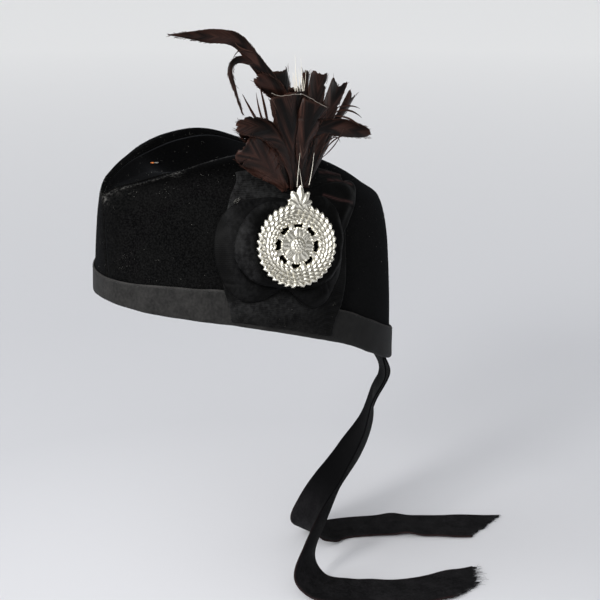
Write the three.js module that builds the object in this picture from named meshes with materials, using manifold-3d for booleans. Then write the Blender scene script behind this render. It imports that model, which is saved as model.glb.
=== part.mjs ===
// A glengarry: a boat-shaped velvet cap with a bound rim, two tails, a cockade, a badge and a plume.
// Sizes are in millimetres. +Z is up, -Y is the front of the cap and +X is the wearer's left,
// where the badge sits. The origin is the middle of the opening for the head, level with the rim
// at the ears.

import * as THREE from 'three';
import { mergeVertices } from 'three/addons/utils/BufferGeometryUtils.js';
import Module from 'manifold-3d';

const wasm = await Module();
wasm.setup();

// Crown: an oval rim that narrows to two ridges with a valley between them.
const RIM_HALF_LENGTH = 101.8;
const RIM_HALF_WIDTH = 78.8;
const RIM_MIDDLE = 1.4; // the middle of the oval lies this far behind the origin
const RIDGE_HALF_LENGTH = 101.8;
const RIDGE_HALF_WIDTH = 40;
const RIDGE_POINT = 1.42; // power of the sine that draws the ridges together at both ends
const VALLEY_POWER = 1.4; // how steeply the top falls away from a ridge
const SEAM_INSET = 5; // from a ridge in to the seam between a side panel and the top
const SEAM_INSET_LIMIT = 0.5; // the same as a share of the half width, where the top is narrow
const TOP_FIRST_TURN = 15; // degrees from the front at which the top panel starts
const VELVET_THICKNESS = 2;
const SEAM_GAP = 0.4;
const CORE_LENGTH_SHARE = 0.6; // the line inside the crown that its thickness is pushed towards
const CORE_HEIGHT = 50;
const LEAST_SLOPE = 0.5; // keeps the push short where the wall lies nearly along it
const WALL_STEPS = 9; // quads up a side panel's wall
const ROLL_STEPS = 2; // quads over the ridge to the seam
const CROWN_STEPS = 24; // quads from the front of the crown to the back
const TOP_STEPS_ACROSS = 8;

// One row per section of the crown, by the turn in degrees from the front of the rim.
// rim and ridges are heights, valley is its depth, fullness rounds the wall outwards and
// tuck draws the back end of the ridges in.
const CROWN_SECTIONS = [
  { turn: 0, rim: 23.3, ridgeLeft: 87, ridgeRight: 87, valley: 0.5, fullness: 1.5, tuck: 0 },
  { turn: 30, rim: 20.8, ridgeLeft: 94.5, ridgeRight: 96.5, valley: 2, fullness: 1.7, tuck: 0 },
  { turn: 48, rim: 17.8, ridgeLeft: 100.5, ridgeRight: 103.5, valley: 4, fullness: 2.0, tuck: 0 },
  { turn: 60, rim: 14.7, ridgeLeft: 106, ridgeRight: 109, valley: 14, fullness: 2.3, tuck: 0 },
  { turn: 75, rim: 8.5, ridgeLeft: 110.3, ridgeRight: 113, valley: 19, fullness: 2.4, tuck: 0 },
  { turn: 90, rim: 0.6, ridgeLeft: 110, ridgeRight: 112, valley: 18, fullness: 2.4, tuck: 0 },
  { turn: 105, rim: -8.7, ridgeLeft: 103, ridgeRight: 103, valley: 15, fullness: 2.4, tuck: 0 },
  { turn: 120, rim: -20.5, ridgeLeft: 92.5, ridgeRight: 92.5, valley: 11, fullness: 2.6, tuck: 1 },
  { turn: 135, rim: -31, ridgeLeft: 80.5, ridgeRight: 80.5, valley: 7, fullness: 3.0, tuck: 2 },
  { turn: 155, rim: -40, ridgeLeft: 71, ridgeRight: 71, valley: 3, fullness: 3.2, tuck: 3 },
  { turn: 180, rim: -44, ridgeLeft: 65, ridgeRight: 65, valley: 1, fullness: 3.2, tuck: 4 },
];

// Rim binding: a woven ribbon folded over the edge.
const BINDING_HEIGHT = 19.2;
const BINDING_FRONT_SHARE = 0.69; // of that height, left at the front of the rim
const BINDING_FRONT_TURN = 60; // degrees from the front over which it grows to the full height
const BINDING_INSIDE_HEIGHT = 10;
const BINDING_THICKNESS = 1;
const BINDING_GAP = 0.45;
const BINDING_EDGE = 0.5; // height at which the ribbon starts to fold under
const BINDING_STEPS = 48;

// Tails: ribbons along a route, each row a station with the ribbon's width there and the
// direction of that width in plan, in degrees from +X towards +Y. Both ends lie on a table.
const TAIL_THICKNESS = 0.9;
const TABLE_LEVEL = -205.4;
const TABLE_CLEARANCE = 0.1;
const TAIL_STEPS = 30;
const TAIL_END_POWER = 4; // keeps the shape of a cut end close to the end
const LYING = TABLE_LEVEL + TAIL_THICKNESS + TABLE_CLEARANCE;
const TAIL_LEFT_ROUTE = [
  { x: 0, y: 106.1, z: -28, width: 20, facing: 0 },
  { x: 1, y: 108.5, z: -47, width: 22, facing: -14 },
  { x: 3, y: 114, z: -66, width: 28, facing: -29 },
  { x: 4, y: 105.5, z: -83, width: 34, facing: -41 },
  { x: 4, y: 101, z: -106, width: 38, facing: -50 },
  { x: 5, y: 86, z: -131, width: 38, facing: -54 },
  { x: 7, y: 67, z: -150, width: 38, facing: -56 },
  { x: 11, y: 50, z: -172, width: 38, facing: -57 },
  { x: 17, y: 38, z: -190, width: 38, facing: -56 },
  { x: 25, y: 41.5, z: -201.5, width: 38, facing: -52 },
  { x: 38, y: 56, z: LYING, width: 38, facing: -45 },
  { x: 54, y: 71, z: LYING, width: 38, facing: -33 },
  { x: 67, y: 99, z: LYING, width: 38, facing: -18 },
  { x: 74, y: 132, z: LYING, width: 38, facing: -13 },
  { x: 79, y: 156, z: LYING, width: 38, facing: -13 },
];
const TAIL_RIGHT_ROUTE = [
  { x: 0, y: 107.9, z: -28, width: 20, facing: 0 },
  { x: -1, y: 111, z: -47, width: 22, facing: -14 },
  { x: -9, y: 127, z: -68, width: 28, facing: -28 },
  { x: -28, y: 130.5, z: -95.5, width: 34, facing: -33 },
  { x: -31, y: 124, z: -118, width: 38, facing: -31 },
  { x: -34, y: 109.5, z: -139, width: 38, facing: -22 },
  { x: -34, y: 91, z: -158.5, width: 38, facing: -12 },
  { x: -36, y: 82, z: -174.5, width: 38, facing: -3 },
  { x: -41, y: 79.5, z: -190.5, width: 38, facing: 0 },
  { x: -44, y: 91, z: -201.5, width: 37, facing: 6 },
  { x: -48, y: 112, z: LYING, width: 36, facing: -10 },
  { x: -36, y: 139, z: LYING, width: 36, facing: -27 },
  { x: -18, y: 164, z: LYING, width: 37, facing: -36 },
  { x: -1, y: 186, z: LYING, width: 38, facing: -36 },
  { x: 20, y: 219, z: LYING, width: 38, facing: -33 },
];
// Share of the route lost at each line across the ribbon: one slant cut, one ragged end.
const SLANT_END = [0, 0.016, 0.032, 0.048];
const RAGGED_END = [0.01, 0.03, 0.045, 0.1];

// Cockade: three layers of black silk on the left wall. Positions on it are y and z of the wall.
const SILK_THICKNESS = 0.9;
const SILK_GAP = 0.45;
const SILK_STEPS_ROUND = 42;
const SWELL_POWER = 1.6; // moves the fullest part of a loop out towards its edge
const PATCH_OVER_BINDING = 1.9; // the patch's distance from the velvet where it crosses the binding
const PATCH_OVER_VELVET = 0.6;
const PATCH_STEP = 11; // height over which it comes down from one to the other
// The patch by its share of the wall's height, with its front and back edges in y.
const PATCH_ROWS = [
  { lift: 0.01, front: -53, back: 23 },
  { lift: 0.3, front: -57, back: 28 },
  { lift: 0.6, front: -54, back: 31 },
  { lift: 0.8, front: -47, back: 34 },
  { lift: 0.93, front: -39, back: 36 },
];
const COCKADE_Y = -11;
const COCKADE_Z = 58;
// Outlines round the cockade's centre: degrees from the back of the cap, upwards, with the
// reach of the silk and how far it puffs out there.
const BOW_INNER = 12;
const BOW_OUTLINE = [
  { turn: 0, reach: 38, puff: 1.6 },
  { turn: 14, reach: 47, puff: 1.6 },
  { turn: 25, reach: 63, puff: 1.6 },
  { turn: 38, reach: 50, puff: 1.4 },
  { turn: 60, reach: 36, puff: 0.8 },
  { turn: 90, reach: 27, puff: 0.3 },
  { turn: 120, reach: 34, puff: 0.8 },
  { turn: 150, reach: 46, puff: 2.2 },
  { turn: 180, reach: 48.5, puff: 3.2 },
  { turn: 210, reach: 48.5, puff: 3.2 },
  { turn: 223, reach: 44, puff: 2.4 },
  { turn: 240, reach: 28, puff: 0.6 },
  { turn: 254, reach: 27, puff: 0.4 },
  { turn: 280, reach: 39, puff: 2.6 },
  { turn: 316, reach: 40, puff: 3.2 },
  { turn: 340, reach: 37.5, puff: 2.2 },
  { turn: 360, reach: 38, puff: 1.6 },
];
const RING_INNER = 16;
const RING_OUTLINE = [
  { turn: 0, reach: 35, puff: 2.2 },
  { turn: 45, reach: 35, puff: 1.6 },
  { turn: 90, reach: 25, puff: 0.3 },
  { turn: 135, reach: 34, puff: 1.8 },
  { turn: 180, reach: 39, puff: 3 },
  { turn: 205, reach: 36, puff: 2.6 },
  { turn: 235, reach: 27.5, puff: 1 },
  { turn: 270, reach: 25.5, puff: 0.4 },
  { turn: 305, reach: 28, puff: 1.2 },
  { turn: 335, reach: 33, puff: 2 },
  { turn: 360, reach: 35, puff: 2.2 },
];
const RING_PLEATS = 14;
const RING_PLEAT_DEPTH = 0.35;

// Badge: an oval frame of petals with a rosette in the middle on eight bars, and a fan on top.
const BADGE_Y = -15.2;
const BADGE_Z = 59.1;
const BADGE_CLEARANCE = 7.6; // from the velvet to the back of the badge
const BADGE_LEAN = 9; // degrees, with its top towards the back of the cap
const BADGE_PLATE = 1.4;
const FRAME_HALF_WIDTH = 20;
const FRAME_HALF_HEIGHT = 18.6;
const FRAME_BAND = 11;
const FRAME_PETALS = 20;
const FRAME_PETAL = { long: 4.6, wide: 3.2, high: 2.1, slant: 38 };
const FRAME_PETAL_SPREAD = 3;
const BAR_COUNT = 8;
const BAR_WIDTH = 4;
const ROSETTE_PETALS = 8;
const ROSETTE_REACH = 7;
const ROSETTE_PETAL = { long: 4.4, wide: 2.8, high: 2.2 };
const BOSS_RADIUS = 5.4;
const BOSS_HEIGHT = 3.6;
const BEAD_COUNT = 8;
const BEAD_RADIUS = 1;
const BEAD_REACH = BOSS_RADIUS + 0.4;
const BEAD_HEIGHT = BADGE_PLATE + 0.5;
const FAN_BASE = 22.5; // height of the fan's foot above the badge's middle
const FAN_LOBES = [
  { lean: -62, long: 8.5 },
  { lean: -31, long: 11 },
  { lean: 0, long: 13.5 },
  { lean: 31, long: 11 },
  { lean: 62, long: 8.5 },
];
const FAN_LOBE_WIDTH = 2.6;

// Plume: strips of feather that spring from one wide knot behind the top of the badge. foot is how
// far behind the knot's middle a strip starts; lean is its angle from upright there, towards the
// front; each bend adds an angle between two shares of the length; outward is how far the tip stands
// out from the cap; twist turns the strip's face. The width grows up to the share grown and tapers
// from the share taper on to the share tip, to a point where point is 1 and in a round where it is 2.
const KNOT = { x: 70.5, y: -7, z: 92 };
const KNOT_RADIUS = 4;
const KNOT_FLATTEN = 0.62;
const KNOT_WIDEN = 2.4;
const STRIP_THICKNESS = 1.1;
const STRIP_FOOT_WIDTH = 5;
const LEAST_STRIP_WIDTH = 1.2;
const OUTWARD_POWER = 1.3;
const FEATHER_COLUMNS = [
  "foot", "length", "width", "grown", "lean", "bends", "outward", "twist", "taper", "tip", "point",
];
const LONG_FEATHER = [-2, 151, 8.2, 0.3, 10, [[32, 0.333, 0.413], [43, 0.615, 0.765]], 5, 10, 0.82, 0.02, 1];
const FEATHERS = [
  [-2, 73, 14, 0.8, 8, [], 0, -15, 0.98, 0.9, 1], // cut strip beside the long feather
  [-4, 79, 11, 0.5, 11, [[47, 0.65, 0.86]], 3, 20, 0.8, 0.3, 2], // side wing
  [1, 70, 6, 0.5, -6, [], -3, -10, 0.98, 0.9, 1], // narrow strip
  [3, 70, 11, 0.7, -10, [[-2, 0, 1]], 0, 12, 0.98, 0.9, 1], // broad strip
  [5, 68, 10, 0.6, -18, [[-6, 0, 1]], 3, 20, 0.98, 0.85, 1], // upper fork
  [6, 65, 8, 0.6, -29, [[-8, 0, 1]], 0, -20, 0.98, 0.8, 1], // lower fork
  [-7, 60, 10, 0.5, 30, [[26, 0, 1]], 7, 0, 0.7, 0.2, 2], // leaf between the two left ones
  [-3, 60, 25, 1, 8, [], 7, -8, 0.99, 1, 1], // front fan, left half
  [3, 53, 19, 1, 8, [[-28, 0, 1]], 8, 4, 0.99, 1, 1], // front fan, right half
  [6, 79, 11, 0.3, 9, [[-100, 0.25, 0.55], [-14, 0.6, 0.8]], 6, -10, 0.7, 0.15, 2], // right leaf
  [-9, 48, 20, 0.6, 42, [[18, 0, 1]], 9, 15, 0.8, 0.5, 2], // lower left leaf
  [-4, 72, 13, 0.5, 8, [[80, 0, 1]], 12, -20, 0.7, 0.15, 2], // left leaf
];
const FEATHER_STEPS = 6;
const LONG_FEATHER_STEPS = 16;
// A thin curled strip that leaves the long feather at one of its steps.
const CURL_START = 9;
const CURL_STEPS = 8;
const CURL = [0, 48.5, 5, 0.1, 76, [[120, 0.156, 0.556]], 4, 0, 0, 0.04, 1.2];

const COLOURS = {
  velvet: 0x08080a,
  ribbon: 0x1c1c20,
  silk: 0x101012,
  metal: 0xc9c9c4,
  feather: 0x2a1511,
};

const radians = THREE.MathUtils.degToRad;
const clamp = THREE.MathUtils.clamp;
const lerp = THREE.MathUtils.lerp;
const at = (x, y, z) => new THREE.Vector3(x, y, z);

// A smooth curve through one column of a table whose rows are in order of the key column.
// It is level at both ends.
function smoothColumn(rows, key, column) {
  const last = rows.length - 1;
  const slopes = rows.map((row, i) => {
    if (i === 0 || i === last) return 0;
    return (rows[i + 1][column] - rows[i - 1][column]) / (rows[i + 1][key] - rows[i - 1][key]);
  });
  return (value) => {
    let i = 0;
    while (i < last - 1 && value > rows[i + 1][key]) i += 1;
    const span = rows[i + 1][key] - rows[i][key];
    const t = clamp((value - rows[i][key]) / span, 0, 1);
    const blend = t * t * (3 - 2 * t);
    const leave = t * (1 - t) * (1 - t) * span * slopes[i];
    const arrive = t * t * (1 - t) * span * slopes[i + 1];
    return lerp(rows[i][column], rows[i + 1][column], blend) + leave - arrive;
  };
}

// The direction square to a grid of points at one of its places.
function gridNormal(grid, i, j, ring) {
  const count = grid.length;
  const ahead = ring ? grid[(i + 1) % count][j] : grid[Math.min(i + 1, count - 1)][j];
  const behind = ring ? grid[(i + count - 1) % count][j] : grid[Math.max(i - 1, 0)][j];
  const above = grid[i][Math.min(j + 1, grid[i].length - 1)];
  const below = grid[i][Math.max(j - 1, 0)];
  return ahead.clone().sub(behind).cross(above.clone().sub(below)).normalize();
}

function signedVolume(points, corners) {
  let volume = 0;
  for (let i = 0; i < corners.length; i += 3) {
    const [a, b, c] = [points[corners[i]], points[corners[i + 1]], points[corners[i + 2]]];
    volume += a.dot(b.clone().cross(c)) / 6;
  }
  return volume;
}

function geometryOf(points, corners) {
  const inward = signedVolume(points, corners) < 0;
  const index = inward ? corners.slice().reverse() : corners;
  const geometry = new THREE.BufferGeometry().setFromPoints(points);
  geometry.setIndex(index);
  geometry.computeVertexNormals();
  return geometry;
}

// A closed sheet of cloth. face(u, v) gives the points of one side and back(point, normal) the
// points of the other; a ring joins up with itself along u.
function clothSheet(face, { along, across, ring = false, back }) {
  const columns = ring ? along : along + 1;
  const front = [];
  for (let i = 0; i < columns; i += 1) {
    front.push([]);
    for (let j = 0; j <= across; j += 1) front[i].push(face(i / along, j / across));
  }
  const rear = front.map((line, i) => line.map((p, j) => back(p, gridNormal(front, i, j, ring))));
  const points = [...front.flat(), ...rear.flat()];
  const size = front.flat().length;
  const id = (i, j) => (i % columns) * (across + 1) + j;
  const corners = [];
  for (let i = 0; i < along; i += 1) {
    for (let j = 0; j < across; j += 1) {
      const quad = [id(i, j), id(i + 1, j), id(i + 1, j + 1), id(i, j + 1)];
      const [a, b, c, d] = quad;
      const [e, f, g, h] = quad.map((k) => k + size);
      corners.push(a, b, c, a, c, d, e, g, f, e, h, g);
    }
  }
  const hem = (p, q) => corners.push(q, p, p + size, q, p + size, q + size);
  for (let i = 0; i < along; i += 1) {
    hem(id(i, 0), id(i + 1, 0));
    hem(id(i + 1, across), id(i, across));
  }
  for (let j = 0; j < across && !ring; j += 1) {
    hem(id(along, j), id(along, j + 1));
    hem(id(0, j + 1), id(0, j));
  }
  return geometryOf(points, corners);
}

const crown = {};
for (const column of ['rim', 'ridgeLeft', 'ridgeRight', 'valley', 'fullness', 'tuck']) {
  crown[column] = smoothColumn(CROWN_SECTIONS, 'turn', column);
}
const ridgeHeight = (side, turn) => (side > 0 ? crown.ridgeLeft(turn) : crown.ridgeRight(turn));
const wallHeight = (side, turn) => ridgeHeight(side, turn) - crown.rim(turn);
const ridgeReach = (turn) => SEAM_GAP / 2 + RIDGE_HALF_WIDTH * Math.sin(radians(turn)) ** RIDGE_POINT;
const ridgeBack = (turn) => -RIDGE_HALF_LENGTH * Math.cos(radians(turn)) - crown.tuck(turn);

// A point on the outside of the crown's wall. lift runs from 0 at the rim to 1 at the ridge.
function wallPoint(side, turn, lift) {
  const fullness = crown.fullness(turn);
  const reach = (1 - clamp(lift, 0, 1) ** fullness) ** (1 / fullness);
  const rimX = SEAM_GAP / 2 + RIM_HALF_WIDTH * Math.sin(radians(turn));
  const rimY = RIM_MIDDLE - RIM_HALF_LENGTH * Math.cos(radians(turn));
  const x = lerp(ridgeReach(turn), rimX, reach);
  const y = lerp(ridgeBack(turn), rimY, reach);
  return at(side * x, y, crown.rim(turn) + lift * wallHeight(side, turn));
}

// A point on the top. fall runs from 0 at the ridge to 1 at the bottom of the valley.
function topPoint(side, turn, fall) {
  const ridge = ridgeHeight(side, turn);
  const middle = (crown.ridgeLeft(turn) + crown.ridgeRight(turn)) / 2 - crown.valley(turn);
  const height = lerp(middle, ridge, (1 - fall) ** VALLEY_POWER);
  return at(side * ridgeReach(turn) * (1 - fall), ridgeBack(turn), height);
}

const seamFall = (turn) => Math.min(SEAM_INSET / ridgeReach(turn), SEAM_INSET_LIMIT);

// The inside of the velvet, pushed towards a line along the middle of the crown.
function insideCrown(point, normal) {
  const core = at(0, point.y * CORE_LENGTH_SHARE, Math.min(point.z, CORE_HEIGHT));
  const inward = core.sub(point).normalize();
  const slope = Math.max(Math.abs(inward.dot(normal)), LEAST_SLOPE);
  return point.clone().addScaledVector(inward, VELVET_THICKNESS / slope);
}

function sidePanel(side) {
  const across = WALL_STEPS + ROLL_STEPS;
  const wallShare = WALL_STEPS / across;
  const face = (u, v) => {
    const turn = 180 * u;
    if (v > wallShare) return topPoint(side, turn, seamFall(turn) * (v - wallShare) / (1 - wallShare));
    const angle = (v / wallShare) * (Math.PI / 2);
    return wallPoint(side, turn, Math.sin(angle) ** (2 / crown.fullness(turn)));
  };
  return clothSheet(face, { along: CROWN_STEPS, across, back: insideCrown });
}

function crownTop() {
  const face = (u, v) => {
    const turn = lerp(TOP_FIRST_TURN, 180 - TOP_FIRST_TURN, u);
    const offset = 2 * v - 1;
    const edge = seamFall(turn) + SEAM_GAP / ridgeReach(turn);
    return topPoint(offset < 0 ? 1 : -1, turn, 1 - Math.abs(offset) * (1 - edge));
  };
  const along = CROWN_STEPS * (1 - TOP_FIRST_TURN / 90);
  return clothSheet(face, { along, across: TOP_STEPS_ACROSS, back: insideCrown });
}

// Direction straight out from the rim in plan.
function rimOutward(side, turn) {
  const angle = radians(turn);
  return at(side * RIM_HALF_LENGTH * Math.sin(angle), -RIM_HALF_WIDTH * Math.cos(angle), 0).normalize();
}

// The ribbon's side that faces the velvet: down the outside, round the edge and up the inside.
const BINDING_PATH = [
  { part: 'outside', share: 1 },
  { part: 'outside', share: 0.5 },
  { part: 'outside', share: 0 },
  { part: 'fold', angle: 50 },
  { part: 'fold', angle: 130 },
  { part: 'inside', share: 0 },
  { part: 'inside', share: 1 },
];

function bindingTop(part, turn) {
  if (part === 'inside') return BINDING_INSIDE_HEIGHT;
  const grown = THREE.MathUtils.smoothstep(turn, 0, BINDING_FRONT_TURN);
  return BINDING_HEIGHT * lerp(BINDING_FRONT_SHARE, 1, grown);
}

function bindingPoint(turn, { part, share, angle }) {
  const side = turn <= 180 ? 1 : -1;
  const halfTurn = side > 0 ? turn : 360 - turn;
  const outward = rimOutward(side, halfTurn);
  const clear = VELVET_THICKNESS / 2 + BINDING_GAP;
  const height = part === 'fold' ? 0 : lerp(BINDING_EDGE, bindingTop(part, halfTurn), share);
  const wall = wallPoint(side, halfTurn, height / wallHeight(side, halfTurn));
  const middle = wall.addScaledVector(outward, -VELVET_THICKNESS / 2);
  if (part === 'outside') return middle.addScaledVector(outward, clear);
  if (part === 'inside') return middle.addScaledVector(outward, -clear);
  const spread = clear * Math.cos(radians(angle));
  return middle.addScaledVector(outward, spread).add(at(0, 0, -clear * Math.sin(radians(angle))));
}

function rimBinding() {
  const across = BINDING_PATH.length - 1;
  const face = (u, v) => bindingPoint(360 * u, BINDING_PATH[Math.round(v * across)]);
  const back = (point, normal) => point.clone().addScaledVector(normal, -BINDING_THICKNESS);
  return clothSheet(face, { along: BINDING_STEPS, across, ring: true, back });
}

// A ribbon along a route; ending shortens each of the lines that run along it.
function tail(route, ending) {
  const line = new THREE.CatmullRomCurve3(route.map(({ x, y, z }) => at(x, y, z)), false, 'centripetal');
  const stations = route.map((row, station) => ({ ...row, station }));
  const width = smoothColumn(stations, 'station', 'width');
  const facing = smoothColumn(stations, 'station', 'facing');
  const across = ending.length - 1;
  const face = (u, v) => {
    const t = u * (1 - ending[Math.round(v * across)] * u ** TAIL_END_POWER);
    const angle = radians(facing(t * (route.length - 1)));
    const sideways = (v - 0.5) * width(t * (route.length - 1));
    return line.getPoint(t).add(at(Math.cos(angle), Math.sin(angle), 0).multiplyScalar(sideways));
  };
  const back = (point, normal) => point.clone().addScaledVector(normal, TAIL_THICKNESS);
  return clothSheet(face, { along: TAIL_STEPS, across, back });
}

// The turn from the front at which the rim has a given y.
const turnAt = (y) => THREE.MathUtils.radToDeg(Math.acos((RIM_MIDDLE - y) / RIM_HALF_LENGTH));

// A point off the left wall, and the direction straight out of the wall there, which is found
// from small steps along the wall and up it.
const TURN_STEP = 1;
const LIFT_STEP = 0.02;
function wallSpot(y, z, offset) {
  const turn = turnAt(y);
  const lift = (z - crown.rim(turn)) / wallHeight(1, turn);
  const alongWall = wallPoint(1, turn + TURN_STEP, lift).sub(wallPoint(1, turn - TURN_STEP, lift));
  const upWall = wallPoint(1, turn, lift + LIFT_STEP).sub(wallPoint(1, turn, lift - LIFT_STEP));
  const outward = alongWall.cross(upWall).normalize();
  return { point: wallPoint(1, turn, lift).addScaledVector(outward, offset), outward };
}

// Distances from the velvet to the inner side of each silk layer.
function patchOffset(y, z) {
  const aboveRim = z - crown.rim(turnAt(y));
  const stepFoot = BINDING_HEIGHT + BINDING_THICKNESS;
  const share = THREE.MathUtils.smoothstep(aboveRim, stepFoot, stepFoot + PATCH_STEP);
  return lerp(PATCH_OVER_BINDING, PATCH_OVER_VELVET, share);
}

const bow = {
  reach: smoothColumn(BOW_OUTLINE, 'turn', 'reach'),
  puff: smoothColumn(BOW_OUTLINE, 'turn', 'puff'),
};
const ring = {
  reach: smoothColumn(RING_OUTLINE, 'turn', 'reach'),
  puff: smoothColumn(RING_OUTLINE, 'turn', 'puff'),
};
const swell = (share) => Math.sin(Math.PI * clamp(share, 0, 1) ** SWELL_POWER);

function bowOffset(turn, radius, y, z) {
  const share = (radius - BOW_INNER) / (bow.reach(turn) - BOW_INNER);
  return patchOffset(y, z) + SILK_THICKNESS + SILK_GAP + bow.puff(turn) * swell(share);
}

function ringOffset(turn, radius, y, z) {
  const share = (radius - RING_INNER) / (ring.reach(turn) - RING_INNER);
  const pleat = RING_PLEAT_DEPTH * (1 + Math.cos(radians(turn * RING_PLEATS))) * share;
  const bare = bowOffset(turn, radius, y, z) + SILK_THICKNESS + SILK_GAP;
  return bare + pleat + ring.puff(turn) * swell(share);
}

const silkBack = (point, normal) => point.clone().addScaledVector(normal, SILK_THICKNESS);

function cockadePatch() {
  const front = smoothColumn(PATCH_ROWS, 'lift', 'front');
  const rear = smoothColumn(PATCH_ROWS, 'lift', 'back');
  const face = (u, v) => {
    const lift = lerp(PATCH_ROWS[0].lift, PATCH_ROWS.at(-1).lift, v);
    const y = lerp(front(lift), rear(lift), u);
    const z = crown.rim(turnAt(y)) + lift * wallHeight(1, turnAt(y));
    return wallSpot(y, z, patchOffset(y, z)).point;
  };
  return clothSheet(face, { along: 12, across: 10, back: silkBack });
}

// A layer of silk laid round the cockade's centre, from an inner radius out to its reach.
function silkRound(inner, reach, offsetAt, across) {
  const face = (u, v) => {
    const turn = 360 * u;
    const radius = lerp(inner, reach(turn), v);
    const y = COCKADE_Y + radius * Math.cos(radians(turn));
    const z = COCKADE_Z + radius * Math.sin(radians(turn));
    return wallSpot(y, z, offsetAt(turn, radius, y, z)).point;
  };
  const back = (point, normal) => point.clone().addScaledVector(normal, -SILK_THICKNESS);
  return clothSheet(face, { along: SILK_STEPS_ROUND, across, ring: true, back });
}

const cockadeBow = () => silkRound(BOW_INNER, bow.reach, bowOffset, 4);
const cockadeRing = () => silkRound(RING_INNER, ring.reach, ringOffset, 3);

function solidOf(geometry) {
  const bare = new THREE.BufferGeometry();
  bare.setAttribute('position', geometry.attributes.position);
  bare.setIndex(geometry.index);
  const { attributes, index } = mergeVertices(bare, 1e-4);
  return new wasm.Manifold(new wasm.Mesh({
    numProp: 3,
    vertProperties: new Float32Array(attributes.position.array),
    triVerts: new Uint32Array(index.array),
  }));
}

// Joins solids that overlap into one.
function fuse(geometries) {
  const solid = geometries.map(solidOf).reduce((sum, next) => sum.add(next));
  const { numProp, vertProperties, triVerts } = solid.getMesh();
  const points = [];
  for (let i = 0; i < vertProperties.length; i += numProp) {
    points.push(at(vertProperties[i], vertProperties[i + 1], vertProperties[i + 2]));
  }
  return geometryOf(points, Array.from(triVerts));
}

// A pointed petal of cast metal that lies flat, with a ridge down its middle.
function petal(x, y, turn, { long, wide, high }) {
  const shape = new THREE.OctahedronGeometry(1).scale(long, wide, high);
  return shape.rotateZ(radians(turn)).translate(x, y, BADGE_PLATE * 0.6);
}

function badgeFrame() {
  const oval = (u, spread) => {
    const angle = u * Math.PI * 2;
    const x = (FRAME_HALF_WIDTH + spread) * Math.cos(angle);
    return at(x, (FRAME_HALF_HEIGHT + spread) * Math.sin(angle), 0);
  };
  const face = (u, v) => oval(u, (v - 0.5) * FRAME_BAND);
  const back = (point) => point.clone().setZ(BADGE_PLATE);
  const shapes = [clothSheet(face, { along: 28, across: 1, ring: true, back })];
  for (let i = 0; i < FRAME_PETALS; i += 1) {
    const { x, y } = oval(i / FRAME_PETALS, FRAME_PETAL_SPREAD);
    const along = THREE.MathUtils.radToDeg(Math.atan2(y, x)) + 90;
    const lean = x > 0 ? -FRAME_PETAL.slant : FRAME_PETAL.slant;
    shapes.push(petal(x, y, along + lean, FRAME_PETAL));
  }
  return shapes;
}

function badgeRosette() {
  const shapes = [];
  for (let i = 0; i < BAR_COUNT; i += 1) {
    const bar = new THREE.BoxGeometry(FRAME_HALF_WIDTH, BAR_WIDTH, BADGE_PLATE);
    bar.translate(FRAME_HALF_WIDTH / 2, 0, BADGE_PLATE / 2);
    shapes.push(bar.rotateZ((i + 0.5) * (Math.PI * 2 / BAR_COUNT)));
  }
  for (let i = 0; i < ROSETTE_PETALS; i += 1) {
    const turn = i * (360 / ROSETTE_PETALS);
    const [x, y] = [ROSETTE_REACH * Math.cos(radians(turn)), ROSETTE_REACH * Math.sin(radians(turn))];
    shapes.push(petal(x, y, turn, ROSETTE_PETAL));
  }
  for (let i = 0; i < BEAD_COUNT; i += 1) {
    const angle = i * (Math.PI * 2 / BEAD_COUNT);
    const bead = new THREE.OctahedronGeometry(BEAD_RADIUS);
    bead.translate(BEAD_REACH * Math.cos(angle), BEAD_REACH * Math.sin(angle), BEAD_HEIGHT);
    shapes.push(bead);
  }
  const boss = new THREE.SphereGeometry(1, 10, 5).rotateX(Math.PI / 2);
  shapes.push(boss.scale(BOSS_RADIUS, BOSS_RADIUS, BOSS_HEIGHT).translate(0, 0, BADGE_PLATE / 2));
  return shapes;
}

function badgeFan() {
  return FAN_LOBES.map(({ lean, long }) => {
    const lobe = new THREE.SphereGeometry(1, 6, 4).scale(FAN_LOBE_WIDTH, long / 2, BADGE_PLATE);
    lobe.translate(0, long / 2, BADGE_PLATE * 0.8).rotateZ(-radians(lean));
    return lobe.translate(0, FAN_BASE, 0);
  });
}

function badge() {
  const { point, outward } = wallSpot(BADGE_Y, BADGE_Z, BADGE_CLEARANCE);
  const level = at(0, 0, 1).cross(outward).normalize();
  const steep = outward.clone().cross(level);
  const lean = radians(BADGE_LEAN);
  const right = level.clone().multiplyScalar(Math.cos(lean)).addScaledVector(steep, -Math.sin(lean));
  const up = level.clone().multiplyScalar(Math.sin(lean)).addScaledVector(steep, Math.cos(lean));
  const place = new THREE.Matrix4().makeBasis(right, up, outward).setPosition(point);
  return fuse([...badgeFrame(), ...badgeRosette(), ...badgeFan()]).applyMatrix4(place);
}

// Points along a feather strip, with the angle that it leans at each.
function strand({ length, lean, bends, outward }, start, steps) {
  const spots = [];
  const place = start.clone();
  const bent = (t) => bends.reduce((sum, [angle, from, to]) => {
    return sum + angle * THREE.MathUtils.smoothstep(t, from, to);
  }, lean);
  const angleAt = (t) => radians(bent(t));
  for (let i = 0; i <= steps; i += 1) {
    const t = i / steps;
    spots.push({ place: place.clone().setX(start.x + outward * t ** OUTWARD_POWER), angle: angleAt(t) });
    const ahead = angleAt((i + 0.5) / steps);
    place.add(at(0, -Math.sin(ahead), Math.cos(ahead)).multiplyScalar(length / steps));
  }
  return spots;
}

function stripWidth({ width, grown, taper, tip, point }, u) {
  const wide = lerp(STRIP_FOOT_WIDTH, width, THREE.MathUtils.smoothstep(u, 0, grown));
  const past = clamp((u - taper) / (1 - taper), 0, 1);
  const left = (1 - past ** point) ** (1 / point);
  return Math.max(wide * lerp(tip, 1, left), LEAST_STRIP_WIDTH);
}

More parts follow.
